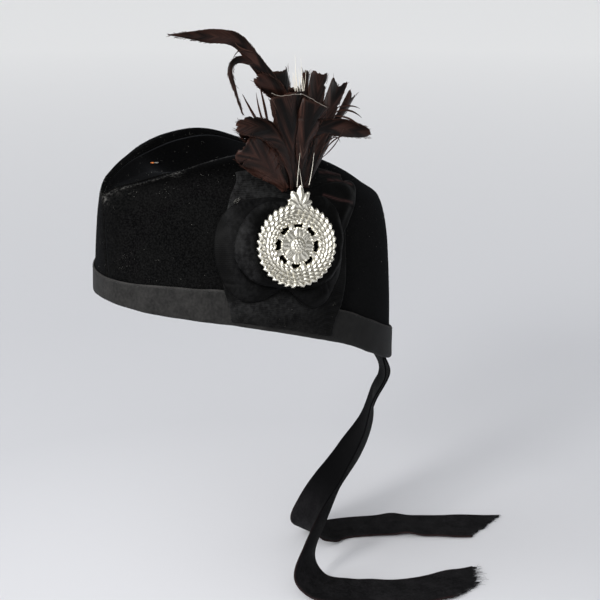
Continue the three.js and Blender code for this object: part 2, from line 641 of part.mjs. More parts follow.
function strip(feather, start, steps) {
  const spots = strand(feather, start, steps);
  const twist = radians(feather.twist);
  const face = (u, v) => {
    const { place, angle } = spots[Math.round(u * steps)];
    const sideways = at(0, Math.cos(angle), Math.sin(angle)).multiplyScalar(Math.cos(twist));
    sideways.x = Math.sin(twist);
    return place.clone().addScaledVector(sideways, (v - 0.5) * stripWidth(feather, u));
  };
  const back = (point, normal) => point.clone().addScaledVector(normal, STRIP_THICKNESS);
  return clothSheet(face, { along: steps, across: 1, back });
}

function plume() {
  const named = (row) => Object.fromEntries(FEATHER_COLUMNS.map((name, i) => [name, row[i]]));
  const footOf = (feather) => at(KNOT.x, KNOT.y + feather.foot, KNOT.z);
  const knot = new THREE.SphereGeometry(KNOT_RADIUS, 8, 5).scale(KNOT_FLATTEN, KNOT_WIDEN, 1);
  const strips = FEATHERS.map(named).map((feather) => strip(feather, footOf(feather), FEATHER_STEPS));
  const longFeather = named(LONG_FEATHER);
  strips.push(strip(longFeather, footOf(longFeather), LONG_FEATHER_STEPS));
  const curlStart = strand(longFeather, footOf(longFeather), LONG_FEATHER_STEPS)[CURL_START].place;
  strips.push(strip(named(CURL), curlStart, CURL_STEPS));
  return fuse([knot.translate(KNOT.x, KNOT.y, KNOT.z), ...strips]);
}

function matte(colour, roughness, metalness = 0) {
  return new THREE.MeshStandardMaterial({ color: colour, roughness, metalness });
}

const group = new THREE.Group();
function addPiece(name, geometry, material) {
  const mesh = new THREE.Mesh(geometry, material);
  mesh.name = name;
  group.add(mesh);
}

addPiece('side_left', sidePanel(1), matte(COLOURS.velvet, 0.95));
addPiece('side_right', sidePanel(-1), matte(COLOURS.velvet, 0.95));
addPiece('crown_top', crownTop(), matte(COLOURS.velvet, 0.95));
addPiece('rim_binding', rimBinding(), matte(COLOURS.ribbon, 0.8));
addPiece('tail_left', tail(TAIL_LEFT_ROUTE, RAGGED_END), matte(COLOURS.ribbon, 0.8));
addPiece('tail_right', tail(TAIL_RIGHT_ROUTE, SLANT_END), matte(COLOURS.ribbon, 0.8));
addPiece('cockade_patch', cockadePatch(), matte(COLOURS.silk, 0.6));
addPiece('cockade_bow', cockadeBow(), matte(COLOURS.silk, 0.6));
addPiece('cockade_ring', cockadeRing(), matte(COLOURS.silk, 0.6));
addPiece('badge', badge(), matte(COLOURS.metal, 0.35, 1));
addPiece('plume', plume(), matte(COLOURS.feather, 0.7));

export default group;
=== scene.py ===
import math

import bpy
import numpy as np
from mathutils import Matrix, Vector


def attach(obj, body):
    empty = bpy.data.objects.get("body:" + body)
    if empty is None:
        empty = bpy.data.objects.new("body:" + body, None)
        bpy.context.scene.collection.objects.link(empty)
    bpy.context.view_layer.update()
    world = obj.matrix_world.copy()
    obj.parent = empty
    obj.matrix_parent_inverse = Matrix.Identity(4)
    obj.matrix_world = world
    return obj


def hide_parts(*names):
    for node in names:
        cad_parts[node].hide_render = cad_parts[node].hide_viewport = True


# A glengarry: velvet crown, ribbon rim and tails, silk cockade, cast badge and a feather plume.
# Sizes are in millimetres in the frame of the solids: -Y is the front, +X the wearer's left, +Z up.
MM = 0.001
LEFT = (1.0, 0.0, 0.0)
UP = (0.0, 0.0, 1.0)

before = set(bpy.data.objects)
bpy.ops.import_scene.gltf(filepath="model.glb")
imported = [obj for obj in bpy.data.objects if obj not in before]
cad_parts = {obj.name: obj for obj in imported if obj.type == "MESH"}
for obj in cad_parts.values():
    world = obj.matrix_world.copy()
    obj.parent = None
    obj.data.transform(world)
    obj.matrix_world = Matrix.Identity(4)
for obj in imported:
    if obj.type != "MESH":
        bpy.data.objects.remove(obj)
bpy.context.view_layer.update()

# Camera, floor and lights
CAMERA_PLACE = (808.03, -521.92, 280.38)
CAMERA_TARGET = (20.61, 29.44, 4.75)
CAMERA_LENS = 92.07
SENSOR_WIDTH = 36
CLIP_END = 100  # metres
FLOOR_LEVEL = -205.7
FLOOR_RADIUS = 9000
FLOOR_SIDES = 96
FLOOR_SHADE_RANGE = (0.1, 0.4)  # painted shade: metres from the middle between which the paper grows darker
FLOOR_LIGHT_RANGE = (0.7, 3.2)  # painted light: and those between which it grows pale again
SKY_BRIGHT_SIDE = (0.32, -1.0, 0.38)
SKY_LOBE = (0.3, 0.95)  # cosines at which the bright side starts and is full
SKY_STRENGTH = (0.3, 2.5)
SKY_COLOUR = (0.98, 0.99, 1.0, 1)
KEY_PLACE = (560, -1250, 620)
KEY_TARGET = (0, 0, 40)
KEY_SIZE = 400
KEY_POWER = 12
KEY_COLOUR = (1, 0.99, 0.97)

# Colours
VELVET_DEEP = (0.0016, 0.0016, 0.0017)
VELVET_SOFT = (0.0028, 0.0028, 0.0028)
VELVET_PALER_BACK = (0.0065, 0.0065, 0.0066)
VELVET_GRAIN = (0.0105, 0.0105, 0.0104)
# painted shade for pile whose face turns up
VELVET_UP_SHADE = (0.0005, 0.0005, 0.0005)
VELVET_DUST = (0.12, 0.117, 0.11)
BACKING_DARK = (0.008, 0.008, 0.008)
BACKING_LIGHT = (0.022, 0.021, 0.02)
SILK_CREASE_SHADE = (0.0005, 0.0005, 0.0005)
SILK_EDGE_HIGHLIGHT = (0.042, 0.02, 0.019)
METAL_DULL = (0.66, 0.632, 0.54)
METAL_BRIGHT = (0.84, 0.812, 0.722)
METAL_DIRT_AND_SHADE = (0.12, 0.108, 0.088)
FEATHER_DARK = (0.0006, 0.0004, 0.0003)
FEATHER_BROWN = (0.038, 0.0165, 0.0122)
# painted highlight for glints on the feathers
FEATHER_GLINT = (0.17, 0.1, 0.078)
FEATHER_RED_HIGHLIGHT = (0.05, 0.021, 0.014)
QUILL_DARK = (0.62, 0.55, 0.44)
QUILL_PALE = (0.85, 0.82, 0.74)
QUILL_TIP = (0.06, 0.03, 0.02)
LINT_DARK = (0.012, 0.012, 0.0115)
LINT_PALE = (0.16, 0.155, 0.14)
LINT_WARM = (0.55, 0.17, 0.05)
FLOOR_NEAR = (0.8, 0.8, 0.83)
FLOOR_SHADED_RING = (0.66, 0.665, 0.695)
FLOOR_LIT_FAR = (0.9, 0.9, 0.905)

# Weaves
RIBBON_RIB, RIBBON_THREAD = 0.85, 0.6
SILK_RIB, SILK_THREAD = 1.15, 0.55
BARB_ALONG, BARB_OUTWARD = 0.31, -0.95  # the direction square to a feather's barbs
BARB_LINES, BARB_STRETCH = 0.75, 0.05  # cells to the millimetre in that direction and along the feather
THREAD_SHADES = (0.55, 1.4)  # darkest and lightest shares of a thread's colour

# Crown
RIM_HALF_LENGTH = 101.8
RIM_HALF_WIDTH = 78.8
RIM_MIDDLE = 1.4
RIDGE_HALF_LENGTH = 101.8
RIDGE_HALF_WIDTH = 40
RIDGE_POINT = 1.42
VALLEY_POWER = 1.4
SEAM_INSET = 5
SEAM_INSET_LIMIT = 0.5
SEAM_GAP = 0.02
TOP_FIRST_TURN = 3
VELVET_THICKNESS = 2
CORE_LENGTH_SHARE = 0.6
CORE_HEIGHT = 50
LEAST_SLOPE = 0.5
CROWN_COLUMNS = ("turn", "rim", "ridge_left", "ridge_right", "valley", "fullness", "tuck")
CROWN_SECTIONS = (
    (0, 23.3, 87, 87, 0.5, 1.5, 0),
    (30, 20.8, 94.5, 96.5, 2, 1.7, 0),
    (48, 17.8, 100.5, 103.5, 4, 2.0, 0),
    (60, 14.7, 106, 109, 14, 2.3, 0),
    (75, 8.5, 110.3, 113, 19, 2.4, 0),
    (90, 0.6, 110, 112, 18, 2.4, 0),
    (105, -8.7, 103, 103, 15, 2.4, 0),
    (120, -20.5, 92.5, 92.5, 11, 2.6, 1),
    (135, -31, 80.5, 80.5, 7, 3.0, 2),
    (155, -40, 71, 71, 3, 3.2, 3),
    (180, -44, 65, 65, 1, 3.2, 4),
)
SIDE_STEPS = 180
WALL_STEPS = 44
ROLL_STEPS = 10
TOP_STEPS = 150
TOP_STEPS_ACROSS = 48
EDGE_DROP = 1.1  # how far the velvet turns in at a seam
EDGE_WIDTH = 2.2
FLAT_SEAM = 0.2  # share of that drop where the seam is pressed flat, on the wearer's right
WORN = (-5, 10)  # the top is worn towards the left, between these x
PALER_BACK_Y = (5, 45)  # the pile is paler towards the back, between these y
UP_SHADE_SLOPES = (0.45, 0.9)  # painted shade: the pile is darker where its face turns up, between these slopes
# Unevenness: the length and seed of its waves, its middle and its swing to both sides.
DENTS = dict(length=42, seed=11, middle=0.35, swing=0.35)
RIDGE_DUST = dict(length=13, seed=5, middle=0.35, swing=0.4)
SEAM_DUST = dict(length=19, seed=6, middle=0.3, swing=0.3)
RIDGE_WEAR_WIDTH = 1.5
SEAM_WEAR_WIDTH = 0.7
RIGHT_WORN_SHARE = 0.1
# Worn, dusty spots on the velvet: place, radius and strength.
WEAR_SPOTS = (
    (27.7, -65.4, 101.5, 3.2, 0.9),
    (2.0, -101.0, 84.5, 2.6, 0.9),
    (12.0, -98.0, 89.5, 2.0, 0.5),
)

# Stitches run over turns from a first to a last with a spacing, in degrees, and their ends sink in.
STITCH_LENGTH = 1.1
STITCH_SINK = np.array([0.5, 0.0, 0.0, 0.5])
STITCH_SIDES = 5
SEAM_STITCH_TURNS = (22, 160, 1.9)
SEAM_STITCH_FALL = 0.9
SEAM_STITCH_RADIUS = 0.2
RIM_STITCH_TURNS = (2, 360, 2.4)
RIM_STITCH_DROP = 1.3
RIM_STITCH_OUT = 0.1
RIM_STITCH_RADIUS = 0.16
COVERED_FROM, COVERED_TO = -60, 32  # the cockade covers the rim between these y

# Rim binding
BINDING_HEIGHT = 19.2
BINDING_FRONT_SHARE = 0.69  # of that height, left at the front of the rim
BINDING_FRONT_TURN = 60  # degrees from the front over which it grows to the full height
BINDING_INSIDE_HEIGHT = 10
BINDING_THICKNESS = 1
BINDING_GAP = 0.45
BINDING_EDGE = 0.5
BINDING_STEPS = 360
BINDING_OUTSIDE_ROWS = 14
BINDING_INSIDE_ROWS = 6
BINDING_FOLD = (20, 160, 8)  # first and last angle of the fold, and its rows
BINDING_WAVE = dict(length=30, seed=3, swing=0.35)
BINDING_UNEVEN = dict(length=16, seed=8, middle=BINDING_THICKNESS, swing=0.14)
BINDING_EDGE_WEAR = dict(length=12, seed=6, middle=0.45, swing=0.3)
BINDING_EDGE_WIDTH = 0.8
BINDING_SHADE_Y = (-50, 60)  # painted shade: the ribbon is darker towards the back, between these y
BINDING_SHADE_SHARE = 0.8

# Tails: a route has x, y, z, the ribbon's width and the turn of its face.
TAIL_THICKNESS = 0.9
TABLE_LEVEL = -205.4
TAIL_CLEARANCE = 0.1
LYING = TABLE_LEVEL + TAIL_THICKNESS + TAIL_CLEARANCE
TAIL_LEFT_ROUTE = (
    (0, 106.1, -28, 20, 0),
    (1, 108.5, -47, 22, -14),
    (3, 114, -66, 28, -29),
    (4, 105.5, -83, 34, -41),
    (4, 101, -106, 38, -50),
    (5, 86, -131, 38, -54),
    (7, 67, -150, 38, -56),
    (11, 50, -172, 38, -57),
    (17, 38, -190, 38, -56),
    (25, 41.5, -201.5, 38, -52),
    (38, 56, LYING, 38, -45),
    (54, 71, LYING, 38, -33),
    (67, 99, LYING, 38, -18),
    (74, 132, LYING, 38, -13),
    (79, 156, LYING, 38, -13),
)
TAIL_RIGHT_ROUTE = (
    (0, 107.9, -28, 20, 0),
    (-1, 111, -47, 22, -14),
    (-9, 127, -68, 28, -28),
    (-28, 130.5, -95.5, 34, -33),
    (-31, 124, -118, 38, -31),
    (-34, 109.5, -139, 38, -22),
    (-34, 91, -158.5, 38, -12),
    (-36, 82, -174.5, 38, -3),
    (-41, 79.5, -190.5, 38, 0),
    (-44, 91, -201.5, 37, 6),
    (-48, 112, LYING, 36, -10),
    (-36, 139, LYING, 36, -27),
    (-18, 164, LYING, 37, -36),
    (-1, 186, LYING, 38, -36),
    (20, 219, LYING, 38, -33),
)
# Cut ends: the share of the length that is missing at places across the ribbon.
SLANT_END = (0, 0.016, 0.032, 0.048)
RAGGED_END = (0.01, 0.03, 0.045, 0.1)
# Low waves of a lying tail: station on the route, height, spread in stations and lean across it.
TAIL_LEFT_WAVES = ((11.2, 1.6, 0.5, 0.6), (12.6, 1.2, 0.35, -0.5))
TAIL_RIGHT_WAVES = ((11.6, 2.2, 0.28, 0.3), (12.9, 1.0, 0.4, -0.6))
# Each tail: piece, node, route, end and the depth of its teeth, waves, seed, loose threads and their reach.
TAILS = (
    ("ribbon_tail_left", "tail_left", TAIL_LEFT_ROUTE, RAGGED_END, 0.014, TAIL_LEFT_WAVES, 41, 60, 6),
    ("ribbon_tail_right", "tail_right", TAIL_RIGHT_ROUTE, SLANT_END, 0.005, TAIL_RIGHT_WAVES, 43, 26, 2.5),
)
TAIL_STEPS = 260
TAIL_STEPS_ACROSS = 26
TAIL_END_POWER = 4
LANDING = (LYING + 14, LYING + 1)  # a tail comes to lie between these z
FREED = (0.05, 0.2)  # and its curl sets in between these shares of its length
TAIL_CURL = 1.3
TAIL_SWAY = dict(length=46, swing=0.9)
TAIL_RIPPLE = dict(length=38, middle=0.5, swing=0.5)
FLOOR_CLEARANCE = 0.15
TAIL_SHADE_ENDS = (0.4, 0.6)  # the painted shade on the tail's hanging upper part ends between these shares of its length
TAIL_EDGE = (0.9, 1.0)
TAIL_EDGE_SHARE = 0.5
# Loose threads of a cut end
FRAY_ROWS = 5
FRAY_BEND = 0.45
FRAY_FLATTENED = np.array([1, 1, 0.25])
FRAY_SHARES = (0.3, 1.0)
FRAY_ROOT = -0.15
FRAY_RADII = np.linspace(0.14, 0.06, 7)
FRAY_OVER_TABLE = 0.3

# Cockade
SILK_THICKNESS = 0.9
SILK_GAP = 0.45
PATCH_OVER_BINDING = 1.9
PATCH_OVER_VELVET = 0.6
PATCH_STEP = 11
PATCH_COLUMNS = ("lift", "front", "back")
PATCH_ROWS = ((0.01, -53, 11), (0.3, -57, 23), (0.6, -54, 27), (0.8, -47, 32), (0.93, -39, 36))
PATCH_STEPS = 96
PATCH_UNEVEN = dict(length=14, seed=21, swing=0.12)
PATCH_RAISED = (-0.25, 0.4)  # how far the patch's face may sink and rise
HEM_HEIGHT = 0.35
HEM_EDGE = (4.2, 3.2)  # distances from the front edge at which it ends
GATHER_LENGTH = 3.4  # small level gathers near the rim
GATHER_DEPTH = 0.22
GATHERED = (27, 21)  # they set in between these z
GATHER_WANDER = dict(length=18, seed=23)
WALL_TURN_STEP, WALL_LIFT_STEP = 1, 0.02  # short steps that find the wall's slope
COCKADE_Y = -11
COCKADE_Z = 58
SILK_COLUMNS = ("turn", "reach", "puff")
BOW_INNER = 12
BOW_OUTLINE = (
    (0, 34, 1.6), (14, 45, 1.6), (25, 62, 1.6), (38, 50, 1.4), (60, 36, 0.8), (90, 27, 0.3),
    (120, 34, 0.8), (150, 46, 2.2), (180, 48.5, 3.2), (210, 48.5, 3.2), (223, 44, 2.4),
    (240, 28, 0.6), (254, 27, 0.4), (280, 39, 2.6), (316, 36.5, 3.2), (340, 33.5, 2.2), (360, 34, 1.6),
)
RING_INNER = 16
RING_OUTLINE = (
    (0, 31, 2.2), (45, 33, 1.6), (90, 25, 0.3), (135, 34, 1.8), (180, 39, 3), (205, 36, 2.6),
    (235, 27.5, 1), (270, 25.5, 0.4), (305, 27.5, 1.2), (335, 30, 2), (360, 31, 2.2),
)
RING_PLEATS = 14
RING_PLEAT_DEPTH = 0.35
SWELL_POWER = 1.6
BOW_SEED, RING_SEED = 51, 53
SILK_STEPS_ROUND = 420
SILK_STEPS_OUT = 40
SILK_UNEVEN = dict(length=15, swing=0.3)
SILK_FOLDS = 1.8
SILK_FOLD_HEIGHT = 0.3
SILK_FOLDS_FULL = 0.3  # share of the way out from which the folds have their full height
FOLD_WANDER = dict(length=45, swing=0.8)
# Sharp folds of the silk, pressed in with painted shade along them, and the cut edges of its strips, with a
# painted highlight on them and painted shadow under them; each a line through places y and z of the wall.
CREASES = (
    ((-47.3, 47.7), (-43.5, 41.4), (-35.7, 38.2), (-27.5, 35.8), (-20.1, 33.0)),
    ((-46.7, 28.2), (-40.4, 27.7), (-33.9, 28.3), (-28.1, 30.8), (-22.7, 33.1)),
    ((-20.1, 33.0), (-15.9, 28.3), (-10.2, 23.3), (-4.5, 19.9)),
    ((-58.9, 42.3), (-55.4, 40.1), (-51.7, 39.5)),
    ((1.1, 34.6), (3.3, 28.4)),
    ((4.0, 35.5), (7.9, 28.0)),
)
CREASE_WIDTH = 0.9
CREASE_DEPTH = 0.45
CUT_EDGES = (
    ((16.5, 96.8), (27.2, 94.6), (36.0, 92.0)),
    ((21.1, 91.6), (30.4, 89.9), (42.0, 85.0)),
    ((11.3, 84.3), (22.6, 79.8), (36.3, 75.5)),
)
CUT_EDGE_WIDTH = 0.5
CUT_EDGE_SHADE = 1.5  # how far under a cut edge its painted shadow lies
# strength of the painted highlight along cut edges
EDGE_HIGHLIGHT_SHARE = 0.8
SHADED = (-30, 16)  # painted shade: the silk is darker towards the back, between these y
SHADED_SHARE = 0.84
LOW_SHADED = (26, 14)  # and towards the rim, between these z
LOW_SHADED_SHARE = 0.45
BAND_FRONT, BAND_BACK = -49, -42  # painted shade: beside the badge only a band between these y is left unshaded
BAND_LOW, BAND_HIGH = 26, 84  # and the shade on both sides of it lies between these z
BAND_EDGE = 6
BAND_SHADED_SHARE = 0.85
# Loose threads at the patch's lower edge
COCKADE_FRAY_SEED = 31
HEM_THREADS = 110
HEM_THREAD_ROWS = 9  # of the patch's rows, from its lower edge
HEM_THREAD_RUN = 4
HEM_THREAD_LEAN = 0.7
HEM_THREAD_LENGTHS = (0.6, 1.8)
HEM_THREAD_LIFT = 0.35
HEM_THREAD_RADII = np.linspace(0.1, 0.05, 5)
# A small tuft on the patch's front hem
TUFT_THREADS = 34
TUFT_PLACE = 0.83  # share of the way up the patch
TUFT_ROW = int(PATCH_STEPS * TUFT_PLACE)
TUFT_ROWS = (-2, 3)
TUFT_COLUMNS = (4, 8)
TUFT_LENGTHS = (0.8, 2.6)
TUFT_OUT, TUFT_SPREAD = 0.5, 0.5
TUFT_RISE = (0.2, 0.6)  # mean and spread
TUFT_CURL = 1.5
TUFT_RADII = np.linspace(0.16, 0.06, 6)
TUFT_TONES = (0.3, 1.0)
THREAD_CLEARANCE = 0.1
THREAD_ARCH = 0.5

# Badge: heights are over the plane of its back.
BADGE_Y = -15.2
BADGE_Z = 59.1
BADGE_CLEARANCE = 7.6
BADGE_LEAN = 9
FRAME_HALF_WIDTH = 20
FRAME_HALF_HEIGHT = 18.6
FRAME_BAND = 11
FRAME_STEPS = 120
FRAME_PROFILE = ((-0.5, 0), (-0.48, 0.8), (-0.32, 1.3), (0, 1.6), (0.32, 1.3), (0.48, 0.8), (0.5, 0))
# Rows of leaves on the ring: place across it, shift round it, slant, half length, half width and count.
FRAME_LEAVES = (
    (4.7, 0.0, 42, 3.0, 1.4, 36),
    (2.4, 0.5, 26, 2.9, 1.35, 34),
    (0.0, 0.0, 8, 2.8, 1.3, 31),
    (-2.3, 0.5, -22, 2.6, 1.25, 28),
    (-4.5, 0.0, -42, 2.4, 1.15, 25),
)
LEAF_FOOT, LEAF_HEIGHT = 0.9, 1.6
BERRY_SPREAD = 0.4
BERRY_FOOT, BERRY_SIZE, BERRY_HEIGHT = 1.0, 0.8, 1.5
PLATE_FOOT, PLATE_HEIGHT = 0.8, 0.7
BAR_COUNT = 8
BAR_REACH = 12.5
BAR_HALF_LENGTH, BAR_HALF_WIDTH, BAR_HEIGHT = 5, 2, 0.9
ROSETTE_PLATE = 10.8
ROSETTE_PETALS = 8
ROSETTE_REACH = 7
PETAL_HALF_LENGTH, PETAL_HALF_WIDTH, PETAL_HEIGHT = 4.4, 2.8, 1.7
BOSS_RADIUS, BOSS_HEIGHT = 5, 2.2
BOSS_FOOT = 1.4
# Rings of beads round the boss and the plate: distance from the middle, count and size.
BEAD_RINGS = ((5.8, 18, 0.8), (10.6, 34, 0.75))
BEAD_HEIGHT = 1.0
# Rings of grains on the boss: distance from its middle and count.
BOSS_GRAINS = ((0.0, 1), (1.8, 6), (3.4, 11))
GRAIN_FOOT, GRAIN_SIZE, GRAIN_HEIGHT = 1.2, 0.85, 0.8
FAN_BASE = 22.5
FAN_LOBES = ((-62, 8.5), (-31, 11), (0, 13.5), (31, 11), (62, 8.5))  # lean and length
FAN_FOOT = 0.8
LOBE_HALF_WIDTH, LOBE_HEIGHT = 2.6, 1.5
TIP_SHARE = 0.93
TIP_FOOT, TIP_SIZE = 0.9, 1.3
FAN_BAR_HALF_LENGTH, FAN_BAR_HALF_WIDTH, FAN_BAR_HEIGHT = 5.2, 1.7, 1.4
FAN_BAR_RISE = 0.6
DOME_RIDGE_WIDTH = 0.28
CAST_GRAIN = 0.34  # size of the cells that the badge is cast into
CAST_SOFTEN_SHARE, CAST_SOFTEN_ROUNDS = 0.5, 2
HOLLOW_ROUNDS = 5
HOLLOW_DEPTH = 0.22

# Lint: places on the left panel where it gathers, and a bright fleck on the top.
LINT_SEED = 23
LINT_COUNTS = ((420, 60), (420, 60), (200, 30), (60, 14))  # specks and fibres on left, right, top and patch
LINT_CLUSTERS = (
    (21.7, -95.4, 51.7), (15.9, -97.8, 47.7), (31.9, -76.1, 92.5), (70.8, 27.4, 59.8), (73, 26.6, 48.3),
)
CLUSTER_RADIUS = 5
CLUSTER_COUNT = 14
CLUSTER_SCATTER = 0.7
CLUSTER_SIZES = (0.1, 0.24)
CLUSTER_TONES = (0.05, 0.4)
SPECK_SIZES = (0.08, 0.22)
SPECK_TONE_POWER = 3
SPECK_LIFT = 0.12
SPECK_ENDS = np.array([-1, 0, 1])
SPECK_RADII = np.array([0.5, 1, 0.5])
FIBRE_LENGTHS = (0.8, 3.0)
FIBRE_BEND = 0.5
FIBRE_LIFT, FIBRE_ARCH = 0.15, 0.3
FIBRE_RADIUS = 0.06
FIBRE_POINTS = 6
FIBRE_TONE = 0.4
FLECK_PLACE = (-15.1, -55.7, 99.7)
FLECK_RADII = np.array([0.25, 0.6, 0.5, 0.75, 0.6, 0.65, 0.2])
FLECK_RUN = np.array([0.45, 0.9, 0.0])
FLECK_LENGTH = 2.8
FLECK_LIFT = 0.45
FLECK_PARTS = ((-2.6, 1.0), (0.2, 0.0))  # where each part starts along the fleck, and its warmth
FLECK_TONE = 4.0

# Plume
PLUME_SEED, QUILL_SEED = 17, 19
KNOT = np.array([70.5, -7, 92])
STRIP_FOOT_WIDTH = 5
OUTWARD_POWER = 1.3
# A feather starts at its foot beside the knot's middle and leans towards the front. Each bend adds an
# angle between two shares of its length. Its width grows up to the share grown, and tapers from the share
# taper on to the share tip of the width, to a point where point is 1 and in a round where it is 2.
FEATHER_COLUMNS = (
    "foot", "length", "width", "grown", "lean", "bends", "outward", "twist", "taper", "tip", "point", "fray",
    "tone", "notch",
)
FEATHERS = (
    # long hooked feather, cut strip beside it and side wing
    (-2, 151, 8.2, 0.3, 10, ((32, 0.333, 0.413), (43, 0.615, 0.765)), 5, 10, 0.82, 0.02, 1, 0.0, 0.7, 0),
    (-2, 73, 14, 0.8, 8, (), 0, -15, 0.98, 0.9, 1, 0.08, 0.4, 0.02),
    (-4, 79, 11, 0.5, 11, ((47, 0.65, 0.86),), 3, 20, 0.8, 0.3, 2, 0.2, 0.6, 0),
    # narrow strip, broad strip, upper and lower fork
    (1, 70, 6, 0.5, -6, (), -3, -10, 0.98, 0.9, 1, 0.15, 0.15, 0),
    (3, 70, 11, 0.7, -10, ((-2, 0, 1),), 0, 12, 0.98, 0.9, 1, 0.05, 0.35, 0.02),
    (5, 68, 10, 0.6, -18, ((-6, 0, 1),), 3, 20, 0.98, 0.85, 1, 0.08, 0.35, 0.06),
    (6, 65, 8, 0.6, -29, ((-8, 0, 1),), 0, -20, 0.98, 0.8, 1, 0.08, 0.35, 0.07),
    # leaf between the two left ones, short leaf behind it and short strip behind the fan
    (-7, 60, 10, 0.5, 30, ((26, 0, 1),), 7, 0, 0.7, 0.2, 2, 0.3, 0.6, 0),
    (-6, 44, 12, 0.5, 22, ((14, 0, 1),), 6, 0, 0.7, 0.3, 2, 0.3, 0.5, 0),
    (-1, 62, 9, 0.5, 3, (), 3, -5, 0.98, 0.9, 1, 0.3, 0.3, 0),
    # left and right half of the front fan
    (-3, 60, 25, 1.0, 8, (), 7, -8, 0.99, 1, 1, 0.05, 0.42, 0),
    (3, 53, 19, 1.0, 8, ((-28, 0, 1),), 8, 4, 0.99, 1, 1, 0.05, 0.35, 0),
    # right leaf, lower left leaf and left leaf
    (6, 79, 11, 0.3, 9, ((-100, 0.25, 0.55), (-14, 0.6, 0.8)), 6, -10, 0.7, 0.15, 2, 0.0, 0.45, 0),
    (-9, 48, 20, 0.6, 40, ((18, 0, 1),), 9, 15, 0.8, 0.5, 2, 0.3, 0.85, 0),
    (-4, 72, 13, 0.5, 8, ((80, 0, 1),), 12, -20, 0.7, 0.15, 2, 0.0, 0.5, 0),
)
# A thin curl that leaves the long feather at a share of its length
CURL = (0, 48.5, 5, 0.1, 76, ((120, 0.156, 0.556),), 4, 0, 0, 0.04, 1.2, 0.1, 0.6, 0)
CURL_SHARE = 0.5625
FEATHER_STEPS = 72
BLADE_STEPS_ACROSS = 12
BLADE_THICKNESS = 0.4
BLADE_THINNED = 0.7  # share of that thickness lost at the edges
BLADE_CUP, BLADE_RIPPLE = 0.14, 0.04  # shares of the width
RIPPLE_COUNTS = (1.5, 3)
RIPPLE_SKEW = 2.2
CUP_LEVEL = 0.4
CUPPED = (0.1, 0.5)  # the cup sets in between these shares of the length
RAGGED_POWER = 6
HIGHLIT_EDGE = (0.8, 1.0)  # shares of the half width and of the length where a blade gets a reddish painted highlight
HIGHLIT_END = (0.95, 1.0)
FEATHER_EDGE_LIGHT_SHARE, FEATHER_END_LIGHT_SHARE = 0.3, 0.5
FOOT_SHADE_TONE = 0.55  # painted shade: a feather's tone at its foot, as a share of its full tone
FOOT_SHADE_ENDS = (0.1, 0.55)  # shares of the length between which that painted shade ends
SLIT_PLACES = (0.3, 1.0)
SLIT_SHALLOW = 0.1
SLITS_PER_LENGTH = 26  # how narrow a slit in a feather's edge is
LEAST_LEFT = 0.25
WEAVE_SHIFT = 900  # feathers take their streaks from places up to this far apart
FRINGE_SPACING = 0.8
FRINGE_ROOTS = (0.25, 0.99)
FRINGE_LENGTHS = (2.5, 5.5)
FRINGE_RADII = np.array([0.16, 0.16, 0.14, 0.1, 0.05])
FRINGE_TONES = (0.2, 0.8)
FRINGE_ROOT = 0.93  # share of the half width where a free barb starts
FRINGE_LEAST_OPENING = 8
FRINGE_LIFT = 0.5
# Values that grow with a feather's fray: without any, and what a full fray adds.
RAGGED_DEPTH = (0.015, 0.06)
SLIT_COUNT = (2, 9)
SLIT_DEPTH = (0.25, 0.4)
FRINGE_CHANCE = (0.35, 0.5)
FRINGE_STRETCH = (0.5, 0.8)
FRINGE_OPENING = (16, 22)
SHAFT_RADII = np.linspace(0.7, 0.2, 24)
SHAFT_END = 0.95
SHAFT_LIFT = 0.2
# Loose hairs: start, bend and end, each as y and z, then how far out they lie and their thickness.
HAIRS = (
    (-30, 124, -40, 138, -48, 152, 74, 0.9),
    (-30, 128, -36, 138, -38, 152, 73, 0.7),
    (-28, 126, -31, 143, -35, 156, 72, 0.9),
    (-32, 120, -42, 132, -52, 137, 76, 0.7),
    (16, 136, 27, 139, 36, 131, 76, 0.6),
    (16, 134, 27, 133, 34, 126, 77, 0.6),
    (18, 138, 30, 140, 37, 136, 73, 0.5),
    (4, 113, 13, 123, 20, 122, 80, 0.5),
    (4, 115, 15, 127, 18, 118, 79, 0.4),
    (5, 110, 16, 116, 21, 126, 78, 0.4),
    (-42, 176, -52, 180, -55, 172, 75, 0.4),
    (-42, 176, -52, 178, -54, 182, 76, 0.4),
)
HAIR_PROFILE = np.array([0.4, 0.7, 0.9, 1, 1, 0.9, 0.7, 0.45, 0.15])
HAIR_FLAT = 0.35
# Bare pale quills at the plume's foot: foot and tip as y and z, how far out and thickness.
QUILLS = (
    (-13.6, 95, -11.4, 115, 79, 0.22),
    (-4.9, 95, -1.3, 114, 79, 0.22),
    (-10, 95, -12, 106, 79, 0.16),
)
QUILL_BEND = 0.8
QUILL_TIP_SHARE = 0.35
# White wisps at the plume's top
WISP_COUNT = 15
WISP_FOOT = (77, -10.5, 151)
WISP_SPREAD = 9
WISP_FOOT_SHARE = 0.7
WISP_LENGTH = 15
WISP_SHARES = (0.55, 1.0)
WISP_TALL, WISP_TALL_EVERY, WISP_TALL_FIRST = 1.7, 7, 3
WISP_SCATTER = 1.2
WISP_LEAN = -1.5
WISP_SIZES = (0.1, 0.24)
WISP_TIP_SHARE = 0.3
# A pale thread round the front fan, as y and z.
PLUME_THREAD = ((-32, 152), (-26, 150), (-18, 150), (-10, 149.5), (-6, 147.5), (0, 144), (7.3, 140))
PLUME_THREAD_OUT = 80
PLUME_THREAD_STEPS = 40
PLUME_THREAD_RADIUS = 0.13
PLUME_THREAD_WAVE = dict(length=6, seed=2, swing=0.3)
PLUME_THREAD_TINT = 0.6

# Waves that make up unevenness
DRIFT_WAVES = 7
DRIFT_STRETCH = (0.6, 1.5)
DRIFT_LIMIT = 1.5


def lerp(a, b, t):
    return a + (b - a) * t


def smoothstep(x, low, high):
    t = np.clip((np.asarray(x, float) - low) / (high - low), 0, 1)
    return t * t * (3 - 2 * t)


